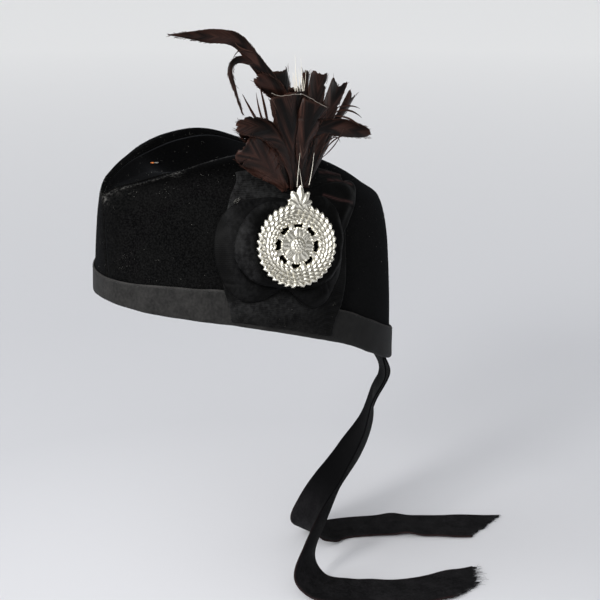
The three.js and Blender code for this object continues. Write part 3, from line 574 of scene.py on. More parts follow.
def bell(distance, width):
    return np.exp(-(distance / width) ** 2)


def unit(vectors):
    return vectors / np.maximum(np.linalg.norm(vectors, axis=-1, keepdims=True), 1e-9)


def sine(turn):
    return np.sin(np.radians(turn))


def cosine(turn):
    return np.cos(np.radians(turn))


def shares(steps):
    return np.linspace(0, 1, steps + 1)


def run_length(points):
    """Distances along a row of points, from its first."""
    return np.concatenate([[0], np.linalg.norm(np.diff(points, axis=0), axis=-1).cumsum()])


def smooth_curve(xs, ys):
    """A smooth curve through points in order of x, level at both ends."""
    xs, ys = np.asarray(xs, float), np.asarray(ys, float)
    slopes = np.zeros_like(ys)
    slopes[1:-1] = (ys[2:] - ys[:-2]) / (xs[2:] - xs[:-2])

    def value(x):
        x = np.asarray(x, float)
        i = np.clip(np.searchsorted(xs, x) - 1, 0, len(xs) - 2)
        span = xs[i + 1] - xs[i]
        t = np.clip((x - xs[i]) / span, 0, 1)
        leave = t * (1 - t) ** 2 * span * slopes[i]
        arrive = t * t * (1 - t) * span * slopes[i + 1]
        return lerp(ys[i], ys[i + 1], t * t * (3 - 2 * t)) + leave - arrive

    return value


def curves(names, rows):
    """Smooth curves over a table's first column, one for each of its other columns, by name."""
    first, *others = np.array(rows, float).T
    return {name: smooth_curve(first, column) for name, column in zip(names[1:], others)}


def drift(points, length, seed, middle=0.0, swing=1.0):
    """Smooth unevenness over points, from sine waves of about that length, round a middle."""
    rng = np.random.default_rng(seed)
    total = np.zeros(points.shape[:-1])
    for _ in range(DRIFT_WAVES):
        direction = unit(rng.normal(size=3))
        stretch = length * rng.uniform(*DRIFT_STRETCH)
        total += np.sin(points @ direction * (math.tau / stretch) + rng.uniform(0, math.tau))
    return middle + swing * np.clip(total / math.sqrt(DRIFT_WAVES) / DRIFT_LIMIT, -1, 1)


# Meshes
def grid_normals(grid, closed=False):
    if closed:
        along = np.roll(grid, -1, 0) - np.roll(grid, 1, 0)
    else:
        along = np.gradient(grid, axis=0)
    return unit(np.cross(along, np.gradient(grid, axis=1)))


def sheet_faces(rows, columns, closed):
    """Quads of a cloth with a front, a back and a hem round it; the back's points come second."""
    size = rows * columns
    ids = np.arange(size).reshape(rows, columns)
    if closed:
        ids = np.vstack([ids, ids[:1]])
    front = np.stack([ids[:-1, :-1], ids[1:, :-1], ids[1:, 1:], ids[:-1, 1:]], -1).reshape(-1, 4)
    edges = [ids[:, 0], ids[::-1, -1]]
    if not closed:
        edges += [ids[-1, :], ids[0, ::-1]]
    hems = [np.stack([line[1:], line[:-1], line[:-1] + size, line[1:] + size], -1) for line in edges]
    return front, front[:, ::-1] + size, np.concatenate(hems)


def faces_in(points, quads):
    """True if the quads of a closed mesh face into it."""
    a, b, c, d = (points[quads[:, k]] for k in range(4))
    return (np.einsum("ij,ij->i", a, np.cross(b, c)) + np.einsum("ij,ij->i", a, np.cross(c, d))).sum() < 0


def sheet_mesh(front, back, closed=False):
    """Points and quads of a cloth from the grids of its two sides, and a 1 for each quad on its back."""
    points = np.concatenate([front.reshape(-1, 3), back.reshape(-1, 3)])
    parts = sheet_faces(*front.shape[:2], closed)
    quads = np.concatenate(parts)
    if faces_in(points, quads):
        quads = quads[:, ::-1]
    return points, quads.tolist(), np.repeat([0, 1, 0], [len(part) for part in parts])


def add_object(name, data):
    made = bpy.data.objects.new(name, data)
    bpy.context.scene.collection.objects.link(made)
    return made


def make_piece(name, points, faces, materials, slot, node=None, uv=None, paint=None, kinds=None):
    """A mesh object in the frame, with a weave map and values painted on its points."""
    mesh = bpy.data.meshes.new(name)
    mesh.from_pydata((points * MM).tolist(), [], faces)
    for material in materials:
        mesh.materials.append(material)
    if kinds is not None:
        mesh.polygons.foreach_set("material_index", np.asarray(kinds, np.int32))
    if uv is not None:
        corners = np.zeros(len(mesh.loops), np.int32)
        mesh.loops.foreach_get("vertex_index", corners)
        layer = mesh.uv_layers.new(name="weave")
        layer.data.foreach_set("uv", np.asarray(uv, np.float32)[corners].ravel())
    for key, values in (paint or {}).items():
        layer = mesh.attributes.new(key, "FLOAT", "POINT")
        layer.data.foreach_set("value", np.asarray(values, np.float32).ravel())
    mesh.shade_smooth()
    mesh.validate()
    piece = add_object(name, mesh)
    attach(piece, "root")
    if node:
        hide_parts(node)
    return piece


def sheet_piece(name, front, back, materials, paint, closed=False, uv=None, **facts):
    """A cloth from the grids of its two sides. With two materials, the second is for the back."""
    points, quads, on_back = sheet_mesh(front, back, closed)
    kinds = on_back * (len(materials) - 1)
    both = {key: np.tile(values.ravel(), 2) for key, values in paint.items()}
    if uv is not None:
        uv = np.tile(uv.reshape(-1, 2), (2, 1))
    return make_piece(name, points, quads, materials, uv=uv, paint=both, kinds=kinds, **facts)


def tube(path, radii, sides=3, flat=1.0, face=LEFT):
    """Points and faces of a closed tube along a path, pressed flat against a facing direction."""
    along = unit(np.gradient(path, axis=0))
    side = unit(np.cross(along, np.broadcast_to(face, path.shape)))
    up = np.cross(side, along)
    radii = np.broadcast_to(np.asarray(radii, float), len(path))[:, None, None]
    angles = (np.arange(sides) * (math.tau / sides) + math.pi / 2)[None, :, None]
    ring = np.cos(angles) * side[:, None] + np.sin(angles) * up[:, None] * flat
    points = (path[:, None] + ring * radii).reshape(-1, 3)
    ids = np.arange(len(path) * sides).reshape(len(path), sides)
    following = np.roll(ids, -1, 1)
    quads = np.stack([ids[:-1], following[:-1], following[1:], ids[1:]], -1).reshape(-1, 4)
    return points, [*quads.tolist(), ids[0, ::-1].tolist(), ids[-1].tolist()]


class Heap:
    """Gathers many small closed shapes into one mesh, each with values painted on its points."""

    def __init__(self):
        self.points, self.faces, self.uv, self.paint, self.count = [], [], [], {}, 0

    def add(self, shape, uv=None, **paint):
        points, faces = shape
        if uv is not None:
            self.uv.append(np.broadcast_to(uv, (len(points), 2)))
        self.points.append(points)
        self.faces += [[k + self.count for k in face] for face in faces]
        for key, values in paint.items():
            self.paint.setdefault(key, []).append(np.broadcast_to(values, len(points)))
        self.count += len(points)

    def piece(self, name, material, **facts):
        paint = {key: np.concatenate(values) for key, values in self.paint.items()}
        uv = np.concatenate(self.uv) if self.uv else None
        points = np.concatenate(self.points)
        return make_piece(name, points, self.faces, [material], uv=uv, paint=paint, **facts)


# Materials
class Paint:
    """A material with one Principled shader, and short ways to add the nodes that drive it."""

    def __init__(self, name, values):
        self.material = bpy.data.materials.new(name)
        self.material.use_nodes = True
        self.tree = self.material.node_tree
        self.shader = self.tree.nodes["Principled BSDF"]
        for socket, value in values.items():
            self.shader.inputs[socket].default_value = value

    def join(self, value, socket):
        """Feeds a socket from another node, or sets it to a number or a colour."""
        if isinstance(value, bpy.types.NodeSocket):
            self.tree.links.new(value, socket)
        elif isinstance(value, tuple):
            socket.default_value = (*value, 1)
        else:
            socket.default_value = value

    def node(self, kind, *feeds, **settings):
        """A new node with its settings, and its first sockets fed in order."""
        made = self.tree.nodes.new("ShaderNode" + kind)
        for key, value in settings.items():
            setattr(made, key, value)
        for value, socket in zip(feeds, made.inputs):
            self.join(value, socket)
        return made

    def times(self, a, b, clamp=False):
        return self.node("Math", a, b, operation="MULTIPLY", use_clamp=clamp).outputs[0]

    def plus(self, a, b):
        return self.node("Math", a, b, operation="ADD").outputs[0]

    def wave(self, value, pitch):
        return self.node("Math", self.times(value, math.tau / pitch), operation="SINE").outputs[0]

    def ramp(self, value, low, high, start=0.0, end=1.0):
        """From start at low to end at high, and level past them."""
        return self.node("MapRange", value, low, high, start, end, clamp=True).outputs[0]

    def mix(self, share, a, b):
        made = self.node("Mix", share, data_type="RGBA")
        self.join(a, made.inputs[6])
        self.join(b, made.inputs[7])
        return made.outputs[2]

    def painted(self, name):
        return self.node("Attribute", attribute_name=name).outputs["Fac"]

    def place(self):
        return self.node("TexCoord").outputs["Object"]

    def weave(self):
        made = self.node("SeparateXYZ", self.node("UVMap", uv_map="weave").outputs[0])
        return made.outputs[0], made.outputs[1]

    def noise(self, scale, detail, vector=None):
        """Noise with a scale in cells to the metre, or in the units of a vector."""
        made = self.node("TexNoise", self.place() if vector is None else vector)
        made.inputs["Scale"].default_value = scale
        made.inputs["Detail"].default_value = detail
        return made.outputs["Fac"]

    def spots(self, scale, detail, low, high, vector=None):
        """Noise spread out between two of its levels."""
        return self.ramp(self.noise(scale, detail, vector), low, high)

    def bump(self, height, strength, distance):
        made = self.node("Bump")
        self.join(height, made.inputs["Height"])
        made.inputs["Strength"].default_value = strength
        made.inputs["Distance"].default_value = distance * MM
        self.join(made.outputs[0], self.shader.inputs["Normal"])

    def colour(self, value):
        self.join(value, self.shader.inputs["Base Color"])

    def rough(self, value):
        self.join(value, self.shader.inputs["Roughness"])


def velvet_paint():
    """Black pile: painted shade where it faces up, paler towards the back, dusty where it is worn."""
    paint = Paint("velvet_pile", {
        "Roughness": 0.95, "Specular IOR Level": 0.0,
        "Sheen Weight": 0.02, "Sheen Roughness": 0.4, "Sheen Tint": (0.85, 0.9, 1.0, 1),
    })
    grain = paint.spots(1000, detail=3, low=0.4, high=0.75)
    grit = paint.spots(900, detail=2, low=0.45, high=0.7)
    pile = paint.mix(paint.spots(60, detail=3, low=0.35, high=0.7), VELVET_DEEP, VELVET_SOFT)
    pile = paint.mix(paint.times(paint.painted("paler_back"), 0.5), pile, VELVET_PALER_BACK)
    pile = paint.mix(paint.times(grain, 0.6), pile, VELVET_GRAIN)
    # painted shade: the pile turns darker where its face turns up
    pile = paint.mix(paint.times(paint.painted("faces_up_shade"), 0.75), pile, VELVET_UP_SHADE)
    paint.colour(paint.mix(paint.times(paint.painted("wear"), grit, clamp=True), pile, VELVET_DUST))
    paint.bump(paint.noise(2600, detail=2), strength=0.5, distance=0.25)
    return paint.material


def velvet_back_paint():
    paint = Paint("velvet_back", {"Roughness": 0.9, "Specular IOR Level": 0.15})
    threads = paint.noise(1500, detail=2)
    paint.colour(paint.mix(paint.ramp(threads, 0.35, 0.7), BACKING_DARK, BACKING_LIGHT))
    paint.bump(threads, strength=0.6, distance=0.2)
    return paint.material


def ribbon_paint(name, dark, light, edge, shine):
    """A ribbed woven ribbon: ribs across its length, fine threads along it, and painted shade that turns it
    to its dark colour.
    """
    paint = Paint(name, {
        "Specular IOR Level": 0.06 * shine,
        "Sheen Weight": 0.02 * shine, "Sheen Roughness": 0.4, "Sheen Tint": (0.85, 0.87, 0.95, 1),
    })
    along, across = paint.weave()
    ribs = paint.wave(along, RIBBON_RIB)
    crossed = paint.times(ribs, paint.wave(across, RIBBON_THREAD))
    cloth = paint.plus(ribs, paint.times(crossed, 0.6))
    shade = paint.ramp(cloth, -1.4, 1.4)
    blotches = paint.spots(120, detail=5, low=0.36, high=0.64)
    uneven = paint.plus(blotches, paint.spots(560, detail=3, low=0.36, high=0.66))
    tone = paint.plus(paint.times(shade, 0.3), paint.times(uneven, 0.36))
    # painted shade: where marked, the ribbon takes its dark colour
    colour = paint.mix(paint.painted("painted_shade"), paint.mix(tone, dark, light), dark)
    paint.colour(paint.mix(paint.painted("edge"), colour, edge))
    paint.rough(paint.ramp(shade, 0, 1, start=0.7, end=0.55))
    paint.bump(cloth, strength=0.35, distance=0.12)
    return paint.material


def silk_paint(name, dark, light, ribbed):
    """Ribbed, blotchy black silk with painted shade in its creases and shaded parts, and reddish painted
    highlights on cut edges.
    """
    paint = Paint(name, {
        "Specular IOR Level": 0.05,
        "Sheen Weight": 0.008, "Sheen Roughness": 0.35, "Sheen Tint": (0.85, 0.88, 0.95, 1),
    })
    along, across = paint.weave()
    cloth = paint.plus(paint.wave(across, SILK_RIB), paint.times(paint.wave(along, SILK_THREAD), 0.35))
    blotches = paint.spots(110, detail=4, low=0.34, high=0.68)
    specks = paint.spots(420, detail=3, low=0.42, high=0.64)
    uneven = paint.plus(paint.times(blotches, 0.5), paint.times(specks, 0.6))
    tone = paint.plus(paint.times(paint.ramp(cloth, -1.2, 1.2), 0.3 * ribbed), uneven)
    # painted shade: creases and shaded parts take the crease colour
    crease_shaded = paint.mix(paint.painted("crease_and_shade"), paint.mix(tone, dark, light), SILK_CREASE_SHADE)
    # painted highlight: reddish light along the cut edges
    paint.colour(paint.mix(paint.painted("edge"), crease_shaded, SILK_EDGE_HIGHLIGHT))
    paint.rough(paint.ramp(blotches, 0, 1, start=0.62, end=0.45))
    paint.bump(cloth, strength=0.3 * ribbed, distance=0.12)
    return paint.material


def thread_paint(name, colour, sheen=0.1, shine=0.3):
    paint = Paint(name, {"Roughness": 0.7, "Specular IOR Level": shine, "Sheen Weight": sheen})
    dark, light = (tuple(share * c for c in colour) for share in THREAD_SHADES)
    paint.colour(paint.mix(paint.noise(1800, detail=2), dark, light))
    return paint.material


def metal_paint():
    """Cast white metal: bright where it is rubbed, dark in its hollows with dirt and painted shade."""
    paint = Paint("white_metal", {"Metallic": 1.0})
    grain = paint.noise(700, detail=4)
    # dirt and painted shade in the hollows
    dirt_and_shade = paint.times(paint.painted("hollow"), paint.ramp(grain, 0, 1, start=0.7, end=1.0), clamp=True)
    paint.colour(paint.mix(dirt_and_shade, paint.mix(grain, METAL_DULL, METAL_BRIGHT), METAL_DIRT_AND_SHADE))
    paint.rough(paint.ramp(paint.plus(dirt_and_shade, paint.times(grain, 0.25)), 0, 1, start=0.24, end=0.55))
    paint.bump(paint.noise(1600, detail=3), strength=0.12, distance=0.15)
    return paint.material


def barb_vector(paint):
    """Places on a feather, stretched along barbs that slant out from its shaft."""
    along, across = paint.weave()
    outward = paint.node("Math", across, operation="ABSOLUTE").outputs[0]
    square = paint.plus(paint.times(along, BARB_ALONG), paint.times(outward, BARB_OUTWARD))
    lines, stretched = paint.times(square, BARB_LINES), paint.times(along, BARB_STRETCH)
    return paint.node("CombineXYZ", lines, stretched).outputs[0]


def feather_paint():
    """Dark brown vanes with fine barb lines and broad streaks, painted glints and reddish painted edge
    highlights, with a silky gloss.
    """
    paint = Paint("feather_barb", {"Specular IOR Level": 0.12})
    barbs = barb_vector(paint)
    lines = paint.noise(1.0, 4, barbs)
    streaks = paint.spots(0.22, detail=2, low=0.42, high=0.58, vector=barbs)
    # painted highlights: small glints in the colour
    glints = paint.spots(0.55, detail=2, low=0.64, high=0.76, vector=barbs)
    fine = paint.times(paint.ramp(lines, 0.44, 0.64), 0.55)
    tone = paint.plus(paint.times(paint.painted("tone"), 0.6), fine)
    tone = paint.times(tone, paint.ramp(streaks, 0, 1, start=0.12, end=1.4))
    brown = paint.mix(tone, FEATHER_DARK, FEATHER_BROWN)
    brown = paint.mix(paint.times(glints, 0.6), brown, FEATHER_GLINT)
    # painted highlight: reddish light on edges and ends
    paint.colour(paint.mix(paint.painted("tip"), brown, FEATHER_RED_HIGHLIGHT))
    paint.rough(paint.ramp(lines, 0, 1, start=0.22, end=0.45))
    paint.bump(lines, strength=0.85, distance=0.5)
    return paint.material


def quill_paint():
    paint = Paint("quill_horn", {"Roughness": 0.35, "Specular IOR Level": 0.5, "Coat Weight": 0.2})
    pale = paint.mix(paint.noise(260, detail=3), QUILL_DARK, QUILL_PALE)
    paint.colour(paint.mix(paint.painted("tip"), pale, QUILL_TIP))
    return paint.material


def lint_paint():
    paint = Paint("lint", {"Roughness": 0.9, "Specular IOR Level": 0.1})
    grey = paint.mix(paint.painted("tone"), LINT_DARK, LINT_PALE)
    paint.colour(paint.mix(paint.painted("warm"), grey, LINT_WARM))
    return paint.material


def floor_paint():
    """Paper with painted shade in a wide ring round the cap and painted light far off."""
    paint = Paint("floor_paper", {"Roughness": 0.92, "Specular IOR Level": 0.1})
    away = paint.node("VectorMath", paint.place(), operation="LENGTH").outputs["Value"]
    ring = paint.mix(paint.ramp(away, *FLOOR_SHADE_RANGE), FLOOR_NEAR, FLOOR_SHADED_RING)
    paint.colour(paint.mix(paint.ramp(away, *FLOOR_LIGHT_RANGE), ring, FLOOR_LIT_FAR))
    return paint.material


# Crown
crown = curves(CROWN_COLUMNS, CROWN_SECTIONS)


def bulge(turn):
    return np.clip(sine(turn), 0, 1)


def ridge_height(side, turn):
    return np.where(np.asarray(side) > 0, crown["ridge_left"](turn), crown["ridge_right"](turn))


def wall_height(side, turn):
    return ridge_height(side, turn) - crown["rim"](turn)


def ridge_reach(turn):
    return SEAM_GAP / 2 + RIDGE_HALF_WIDTH * bulge(turn) ** RIDGE_POINT


def ridge_back(turn):
    return -RIDGE_HALF_LENGTH * cosine(turn) - crown["tuck"](turn)


def seam_fall(turn):
    return np.minimum(SEAM_INSET / ridge_reach(turn), SEAM_INSET_LIMIT)


def wall_point(side, turn, lift):
    """Points on the outside of the wall. lift runs from 0 at the rim to 1 at the ridge."""
    fullness = crown["fullness"](turn)
    reach = (1 - np.clip(lift, 0, 1) ** fullness) ** (1 / fullness)
    x = lerp(ridge_reach(turn), SEAM_GAP / 2 + RIM_HALF_WIDTH * bulge(turn), reach)
    y = lerp(ridge_back(turn), RIM_MIDDLE - RIM_HALF_LENGTH * cosine(turn), reach)
    z = crown["rim"](turn) + lift * wall_height(side, turn)
    return np.stack(np.broadcast_arrays(side * x, y, z), -1)


def top_point(side, turn, fall):
    """Points on the top. fall runs from 0 at the ridge to 1 at the bottom of the valley."""
    middle = (crown["ridge_left"](turn) + crown["ridge_right"](turn)) / 2 - crown["valley"](turn)
    z = lerp(middle, ridge_height(side, turn), (1 - fall) ** VALLEY_POWER)
    return np.stack(np.broadcast_arrays(side * ridge_reach(turn) * (1 - fall), ridge_back(turn), z), -1)


def crown_core(points):
    y = points[..., 1] * CORE_LENGTH_SHARE
    return np.stack([np.zeros_like(y), y, np.minimum(points[..., 2], CORE_HEIGHT)], -1)


def inside_crown(points, outward):
    inward = unit(crown_core(points) - points)
    slope = np.maximum(np.abs((inward * outward).sum(-1, keepdims=True)), LEAST_SLOPE)
    return points + inward * VELVET_THICKNESS / slope


def velvet_sheet(name, grid, from_edge, from_ridge, worn, turned, node):
    """A velvet panel with turned-in edges, soft dents, dust along its ridge and seams, painted shade where
    it faces up, and paler pile towards the back.
    """
    outward = grid_normals(grid)
    if (outward * (grid - crown_core(grid))).sum() < 0:
        outward = -outward
    drop = EDGE_DROP * turned * np.clip(1 - from_edge / EDGE_WIDTH, 0, 1) ** 2
    face = grid - outward * (drop + drift(grid, **DENTS))[..., None]
    on_ridge = bell(from_ridge, RIDGE_WEAR_WIDTH) * drift(grid, **RIDGE_DUST)
    on_seam = bell(from_edge, SEAM_WEAR_WIDTH) * drift(grid, **SEAM_DUST)
    wear = np.maximum(on_ridge, on_seam) * worn
    for *place, radius, strength in WEAR_SPOTS:
        wear = np.maximum(wear, strength * bell(np.linalg.norm(grid - place, axis=-1), radius))
    paint = {
        "wear": np.clip(wear, 0, 1),
        # painted shade where the face turns up
        "faces_up_shade": smoothstep(outward[..., 2], *UP_SHADE_SLOPES),
        "paler_back": smoothstep(grid[..., 1], *PALER_BACK_Y),
    }
    back = inside_crown(grid, outward)
    sheet_piece(name, face, back, [velvet, velvet_back], paint, slot="velvet", node=node)
    return face, outward


def side_panel(side, name, worn, turned, node):
    turn = np.linspace(0, 180, SIDE_STEPS + 1)[:, None]
    angle = np.linspace(0, math.pi / 2, WALL_STEPS + 1)[None, :]
    wall = wall_point(side, turn, np.sin(angle) ** (2 / crown["fullness"](turn)))
    share = shares(ROLL_STEPS)[None, 1:]
    grid = np.concatenate([wall, top_point(side, turn, share * seam_fall(turn))], axis=1)
    from_seam = np.concatenate([np.full(wall.shape[1], SEAM_INSET), SEAM_INSET * (1 - share[0])])
    from_edge = np.minimum(from_seam[None, :], np.abs(grid[..., 0]) - SEAM_GAP / 2)
    from_ridge = np.linalg.norm(grid - wall_point(side, turn, np.ones_like(turn)), axis=-1)
    return velvet_sheet(name, grid, from_edge, from_ridge, worn, turned, node)


def crown_top():
    turn = np.linspace(TOP_FIRST_TURN, 180 - TOP_FIRST_TURN, TOP_STEPS + 1)[:, None]
    offset = np.linspace(-1, 1, TOP_STEPS_ACROSS + 1)[None, :]
    edge = seam_fall(turn) + SEAM_GAP / ridge_reach(turn)
    grid = top_point(np.where(offset < 0, 1, -1), turn, 1 - np.abs(offset) * (1 - edge))
    from_edge = (1 - np.abs(offset)) * (1 - edge) * ridge_reach(turn)
    worn = smoothstep(grid[..., 0], *WORN)
    turned = lerp(FLAT_SEAM, 1, worn)
    return velvet_sheet("velvet_top", grid, from_edge, from_edge + SEAM_INSET, worn, turned, "crown_top")


def stitch_turns(first, last, spacing):
    """The turns along each stitch of a row."""
    for turn in np.arange(first, last, spacing):
        yield np.linspace(turn, turn + STITCH_LENGTH, len(STITCH_SINK))


def seam_stitches():
    """Small stitches along the two seams of the top."""
    heap = Heap()
    for side in (1, -1):
        for turns in stitch_turns(*SEAM_STITCH_TURNS):
            path = top_point(side, turns, SEAM_STITCH_FALL * seam_fall(turns))
            path[:, 2] -= STITCH_SINK
            heap.add(tube(path, SEAM_STITCH_RADIUS, STITCH_SIDES, face=UP))
    heap.piece("seam_stitches", thread_black, slot="velvet")


# Rim binding
def rim_outward(side, turn):
    x, y = np.broadcast_arrays(side * RIM_HALF_LENGTH * bulge(turn), -RIM_HALF_WIDTH * cosine(turn))
    return unit(np.stack([x, y, np.zeros_like(x)], -1))


def binding_top(turn):
    grown = smoothstep(turn, 0, BINDING_FRONT_TURN)
    return BINDING_HEIGHT * lerp(BINDING_FRONT_SHARE, 1, grown)


def binding_line(turn, part, value):
    """Points of the ribbon's inner side round the rim, at a share of its height or an angle of its fold."""
    side = np.where(turn <= 180, 1, -1)
    half_turn = np.where(turn <= 180, turn, 360 - turn)
    outward = rim_outward(side, half_turn)
    clear = VELVET_THICKNESS / 2 + BINDING_GAP
    top = {"outside": binding_top(half_turn), "inside": BINDING_INSIDE_HEIGHT}
    height = np.zeros_like(turn) if part == "fold" else lerp(BINDING_EDGE, top[part], value)
    outer = wall_point(side, half_turn, height / wall_height(side, half_turn))
    middle = outer - outward * (VELVET_THICKNESS / 2)
    if part == "outside":
        return middle + outward * clear
    if part == "inside":
        return middle - outward * clear
    return middle + outward * clear * cosine(value) - np.array(UP) * clear * sine(value)


def rim_binding():
    turn = np.linspace(0, 360, BINDING_STEPS, endpoint=False)
    rows = [("outside", share) for share in np.linspace(1, 0, BINDING_OUTSIDE_ROWS)]
    rows += [("fold", angle) for angle in np.linspace(*BINDING_FOLD)]
    rows += [("inside", share) for share in np.linspace(0, 1, BINDING_INSIDE_ROWS)]
    inner = np.stack([binding_line(turn, part, value) for part, value in rows], axis=1)
    outward = grid_normals(inner, closed=True)
    if (outward[:, 0] * inner[:, 0]).sum() < 0:
        outward = -outward
    inner[:, 0, 2] += drift(inner[:, 0], **BINDING_WAVE)
    outer = inner + outward * drift(inner, **BINDING_UNEVEN)[..., None]
    across = np.linalg.norm(np.diff(inner, axis=1, prepend=inner[:, :1]), axis=-1).cumsum(1)
    uv = np.stack(np.broadcast_arrays(run_length(inner[:, 0])[:, None], across), -1)
    edge = bell(across, BINDING_EDGE_WIDTH) * drift(inner, **BINDING_EDGE_WEAR)
    # painted shade towards the back of the rim
    painted_shade = BINDING_SHADE_SHARE * smoothstep(inner[..., 1], *BINDING_SHADE_Y)
    paint = {"edge": np.clip(edge, 0, 1), "painted_shade": painted_shade}
    sheet_piece("ribbon_rim", outer, inner, [binding], paint, closed=True, uv=uv, slot="ribbon",
                node="rim_binding")


def rim_stitches():
    """A row of small stitches under the ribbon's upper edge, except under the cockade."""
    heap = Heap()
    reach = BINDING_GAP + BINDING_THICKNESS + RIM_STITCH_OUT
    for turns in stitch_turns(*RIM_STITCH_TURNS):
        side, half = (1, turns) if turns[0] <= 180 else (-1, 360 - turns)
        outward = rim_outward(side, half)
        lift = (binding_top(half) - RIM_STITCH_DROP) / wall_height(side, half)
        path = wall_point(side, half, lift) + outward * reach
        if side > 0 and COVERED_FROM < path[0, 1] < COVERED_TO:
            continue
        path -= outward * STITCH_SINK[:, None]
        heap.add(tube(path, RIM_STITCH_RADIUS, STITCH_SIDES, face=UP))
    heap.piece("rim_stitches", thread_dark, slot="ribbon")


# Tails
def smooth_route(stations, t):
    """Points on a centripetal curve through stations, at shares t of its stretches."""
    ends = np.vstack([2 * stations[0] - stations[1], stations, 2 * stations[-1] - stations[-2]])
    place = np.clip(np.asarray(t, float), 0, 1) * (len(stations) - 1)
    i = np.minimum(place.astype(int), len(stations) - 2)
    weight = (place - i)[..., None]
    p0, p1, p2, p3 = (ends[i + k] for k in range(4))
    d0, d1, d2 = (np.sqrt(np.linalg.norm(b - a, axis=-1, keepdims=True))
                  for a, b in ((p0, p1), (p1, p2), (p2, p3)))
    leave = ((p1 - p0) / d0 - (p2 - p0) / (d0 + d1) + (p2 - p1) / d1) * d1
    arrive = ((p2 - p1) / d1 - (p3 - p1) / (d1 + d2) + (p3 - p2) / d2) * d1
    cubic = 2 * p1 - 2 * p2 + leave + arrive
    square = -3 * p1 + 3 * p2 - 2 * leave - arrive
    return p1 + leave * weight + square * weight ** 2 + cubic * weight ** 3


def tail(name, node, route, ending, teeth, waves, seed):
    """A ribbon tail with soft cross-wise curl, low waves where it lies, its cut end, and painted shade on
    its upper part.
    """
    *places, widths, turns = np.array(route, float).T
    index = np.arange(len(route))
    u = shares(TAIL_STEPS)[:, None]
    v = shares(TAIL_STEPS_ACROSS)[None, :]
    cut = np.interp(v[0], shares(len(ending) - 1), ending)
    cut = cut + teeth * np.random.default_rng(seed).random(cut.shape)
    t = u * (1 - cut * u ** TAIL_END_POWER)
    station = t * index[-1]
    turn = smooth_curve(index, turns)(station)
    sideways = (v - 0.5) * smooth_curve(index, widths)(station)
    flat = np.stack([cosine(turn), sine(turn), np.zeros_like(turn)], -1)
    face = smooth_route(np.stack(places, -1), t) + flat * sideways[..., None]
    lying = smoothstep(face[..., 2], *LANDING)
    for middle, height, spread, lean in waves:
        face[..., 2] += lying * height * bell(station - (middle + lean * (v - 0.5)), spread)
    hanging = (1 - lying) * smoothstep(u, *FREED)
    curl = hanging * (TAIL_CURL * (2 * v - 1) ** 2 + drift(face, seed=seed, **TAIL_SWAY))
    face = face + grid_normals(face) * curl[..., None]
    face[..., 2] += lying * drift(face, seed=seed + 1, **TAIL_RIPPLE)
    back = face + grid_normals(face) * TAIL_THICKNESS
    back[..., 2] = np.maximum(back[..., 2], FLOOR_LEVEL + FLOOR_CLEARANCE)
    uv = np.stack(np.broadcast_arrays(run_length(face[:, 0])[:, None], sideways), -1)
    out_of_shade = smoothstep(u, *TAIL_SHADE_ENDS)
    edge = TAIL_EDGE_SHARE * smoothstep(np.abs(2 * v - 1), *TAIL_EDGE) * out_of_shade
    # painted shade on the upper, hanging part of the tail
    paint = {"edge": edge, "painted_shade": (1 - out_of_shade) * np.ones_like(v)}
    piece = sheet_piece(name, face, back, [tails], paint, uv=uv, slot="ribbon", node=node)
    return piece, face, max(widths)


def flat_size(face, width):
    """Width, length and area of a tail laid flat, in metres."""
    length = run_length(face[:, TAIL_STEPS_ACROSS // 2])[-1]
    crossed = np.cross(face[1:, 1:] - face[:-1, :-1], face[1:, :-1] - face[:-1, 1:])
    area = np.linalg.norm(crossed, axis=-1).sum() / 2
    return width * MM, length * MM, float(area * MM * MM)


def frayed_end(heap, face, count, reach, seed):
    """Loose threads from the last row of a ribbon."""
    rng = np.random.default_rng(seed)
    last, before = face[-1], face[-1 - FRAY_ROWS]
    s = np.linspace(FRAY_ROOT, 1, len(FRAY_RADII))[:, None]
    for _ in range(count):
        k = rng.uniform(0, len(last) - 1)
        i = min(int(k), len(last) - 2)
        start = lerp(last[i], last[i + 1], k - i)
        outward = unit(last[i] - before[i])
        bend = rng.normal(scale=FRAY_BEND, size=3) * FRAY_FLATTENED
        length = reach * rng.uniform(*FRAY_SHARES)
        path = start + outward * length * s + bend * length * s ** 2 * (s > 0)
        path[:, 2] = np.maximum(path[:, 2], TABLE_LEVEL + FRAY_OVER_TABLE)
        heap.add(tube(path, FRAY_RADII, face=UP))


# Cockade
patch = curves(PATCH_COLUMNS, PATCH_ROWS)
bow = curves(SILK_COLUMNS, BOW_OUTLINE)
ring = curves(SILK_COLUMNS, RING_OUTLINE)


def turn_at(y):
    return np.degrees(np.arccos(np.clip((RIM_MIDDLE - y) / RIM_HALF_LENGTH, -1, 1)))


def wall_spot(y, z, offset):
    """Points off the left wall, and the directions straight out of it there."""
    turn = turn_at(y)
    lift = (z - crown["rim"](turn)) / wall_height(1, turn)
    along = wall_point(1, turn + WALL_TURN_STEP, lift) - wall_point(1, turn - WALL_TURN_STEP, lift)
    upward = wall_point(1, turn, lift + WALL_LIFT_STEP) - wall_point(1, turn, lift - WALL_LIFT_STEP)
    outward = unit(np.cross(along, upward))
    return wall_point(1, turn, lift) + outward * np.asarray(offset)[..., None], outward


def patch_offset(y, z):
    step_foot = BINDING_HEIGHT + BINDING_THICKNESS
    share = smoothstep(z - crown["rim"](turn_at(y)), step_foot, step_foot + PATCH_STEP)
    return lerp(PATCH_OVER_BINDING, PATCH_OVER_VELVET, share)


def swell(share):
    return np.sin(math.pi * np.clip(share, 0, 1) ** SWELL_POWER)


def bow_offset(turn, radius, y, z):
    share = (radius - BOW_INNER) / (bow["reach"](turn) - BOW_INNER)
    return patch_offset(y, z) + SILK_THICKNESS + SILK_GAP + bow["puff"](turn) * swell(share)


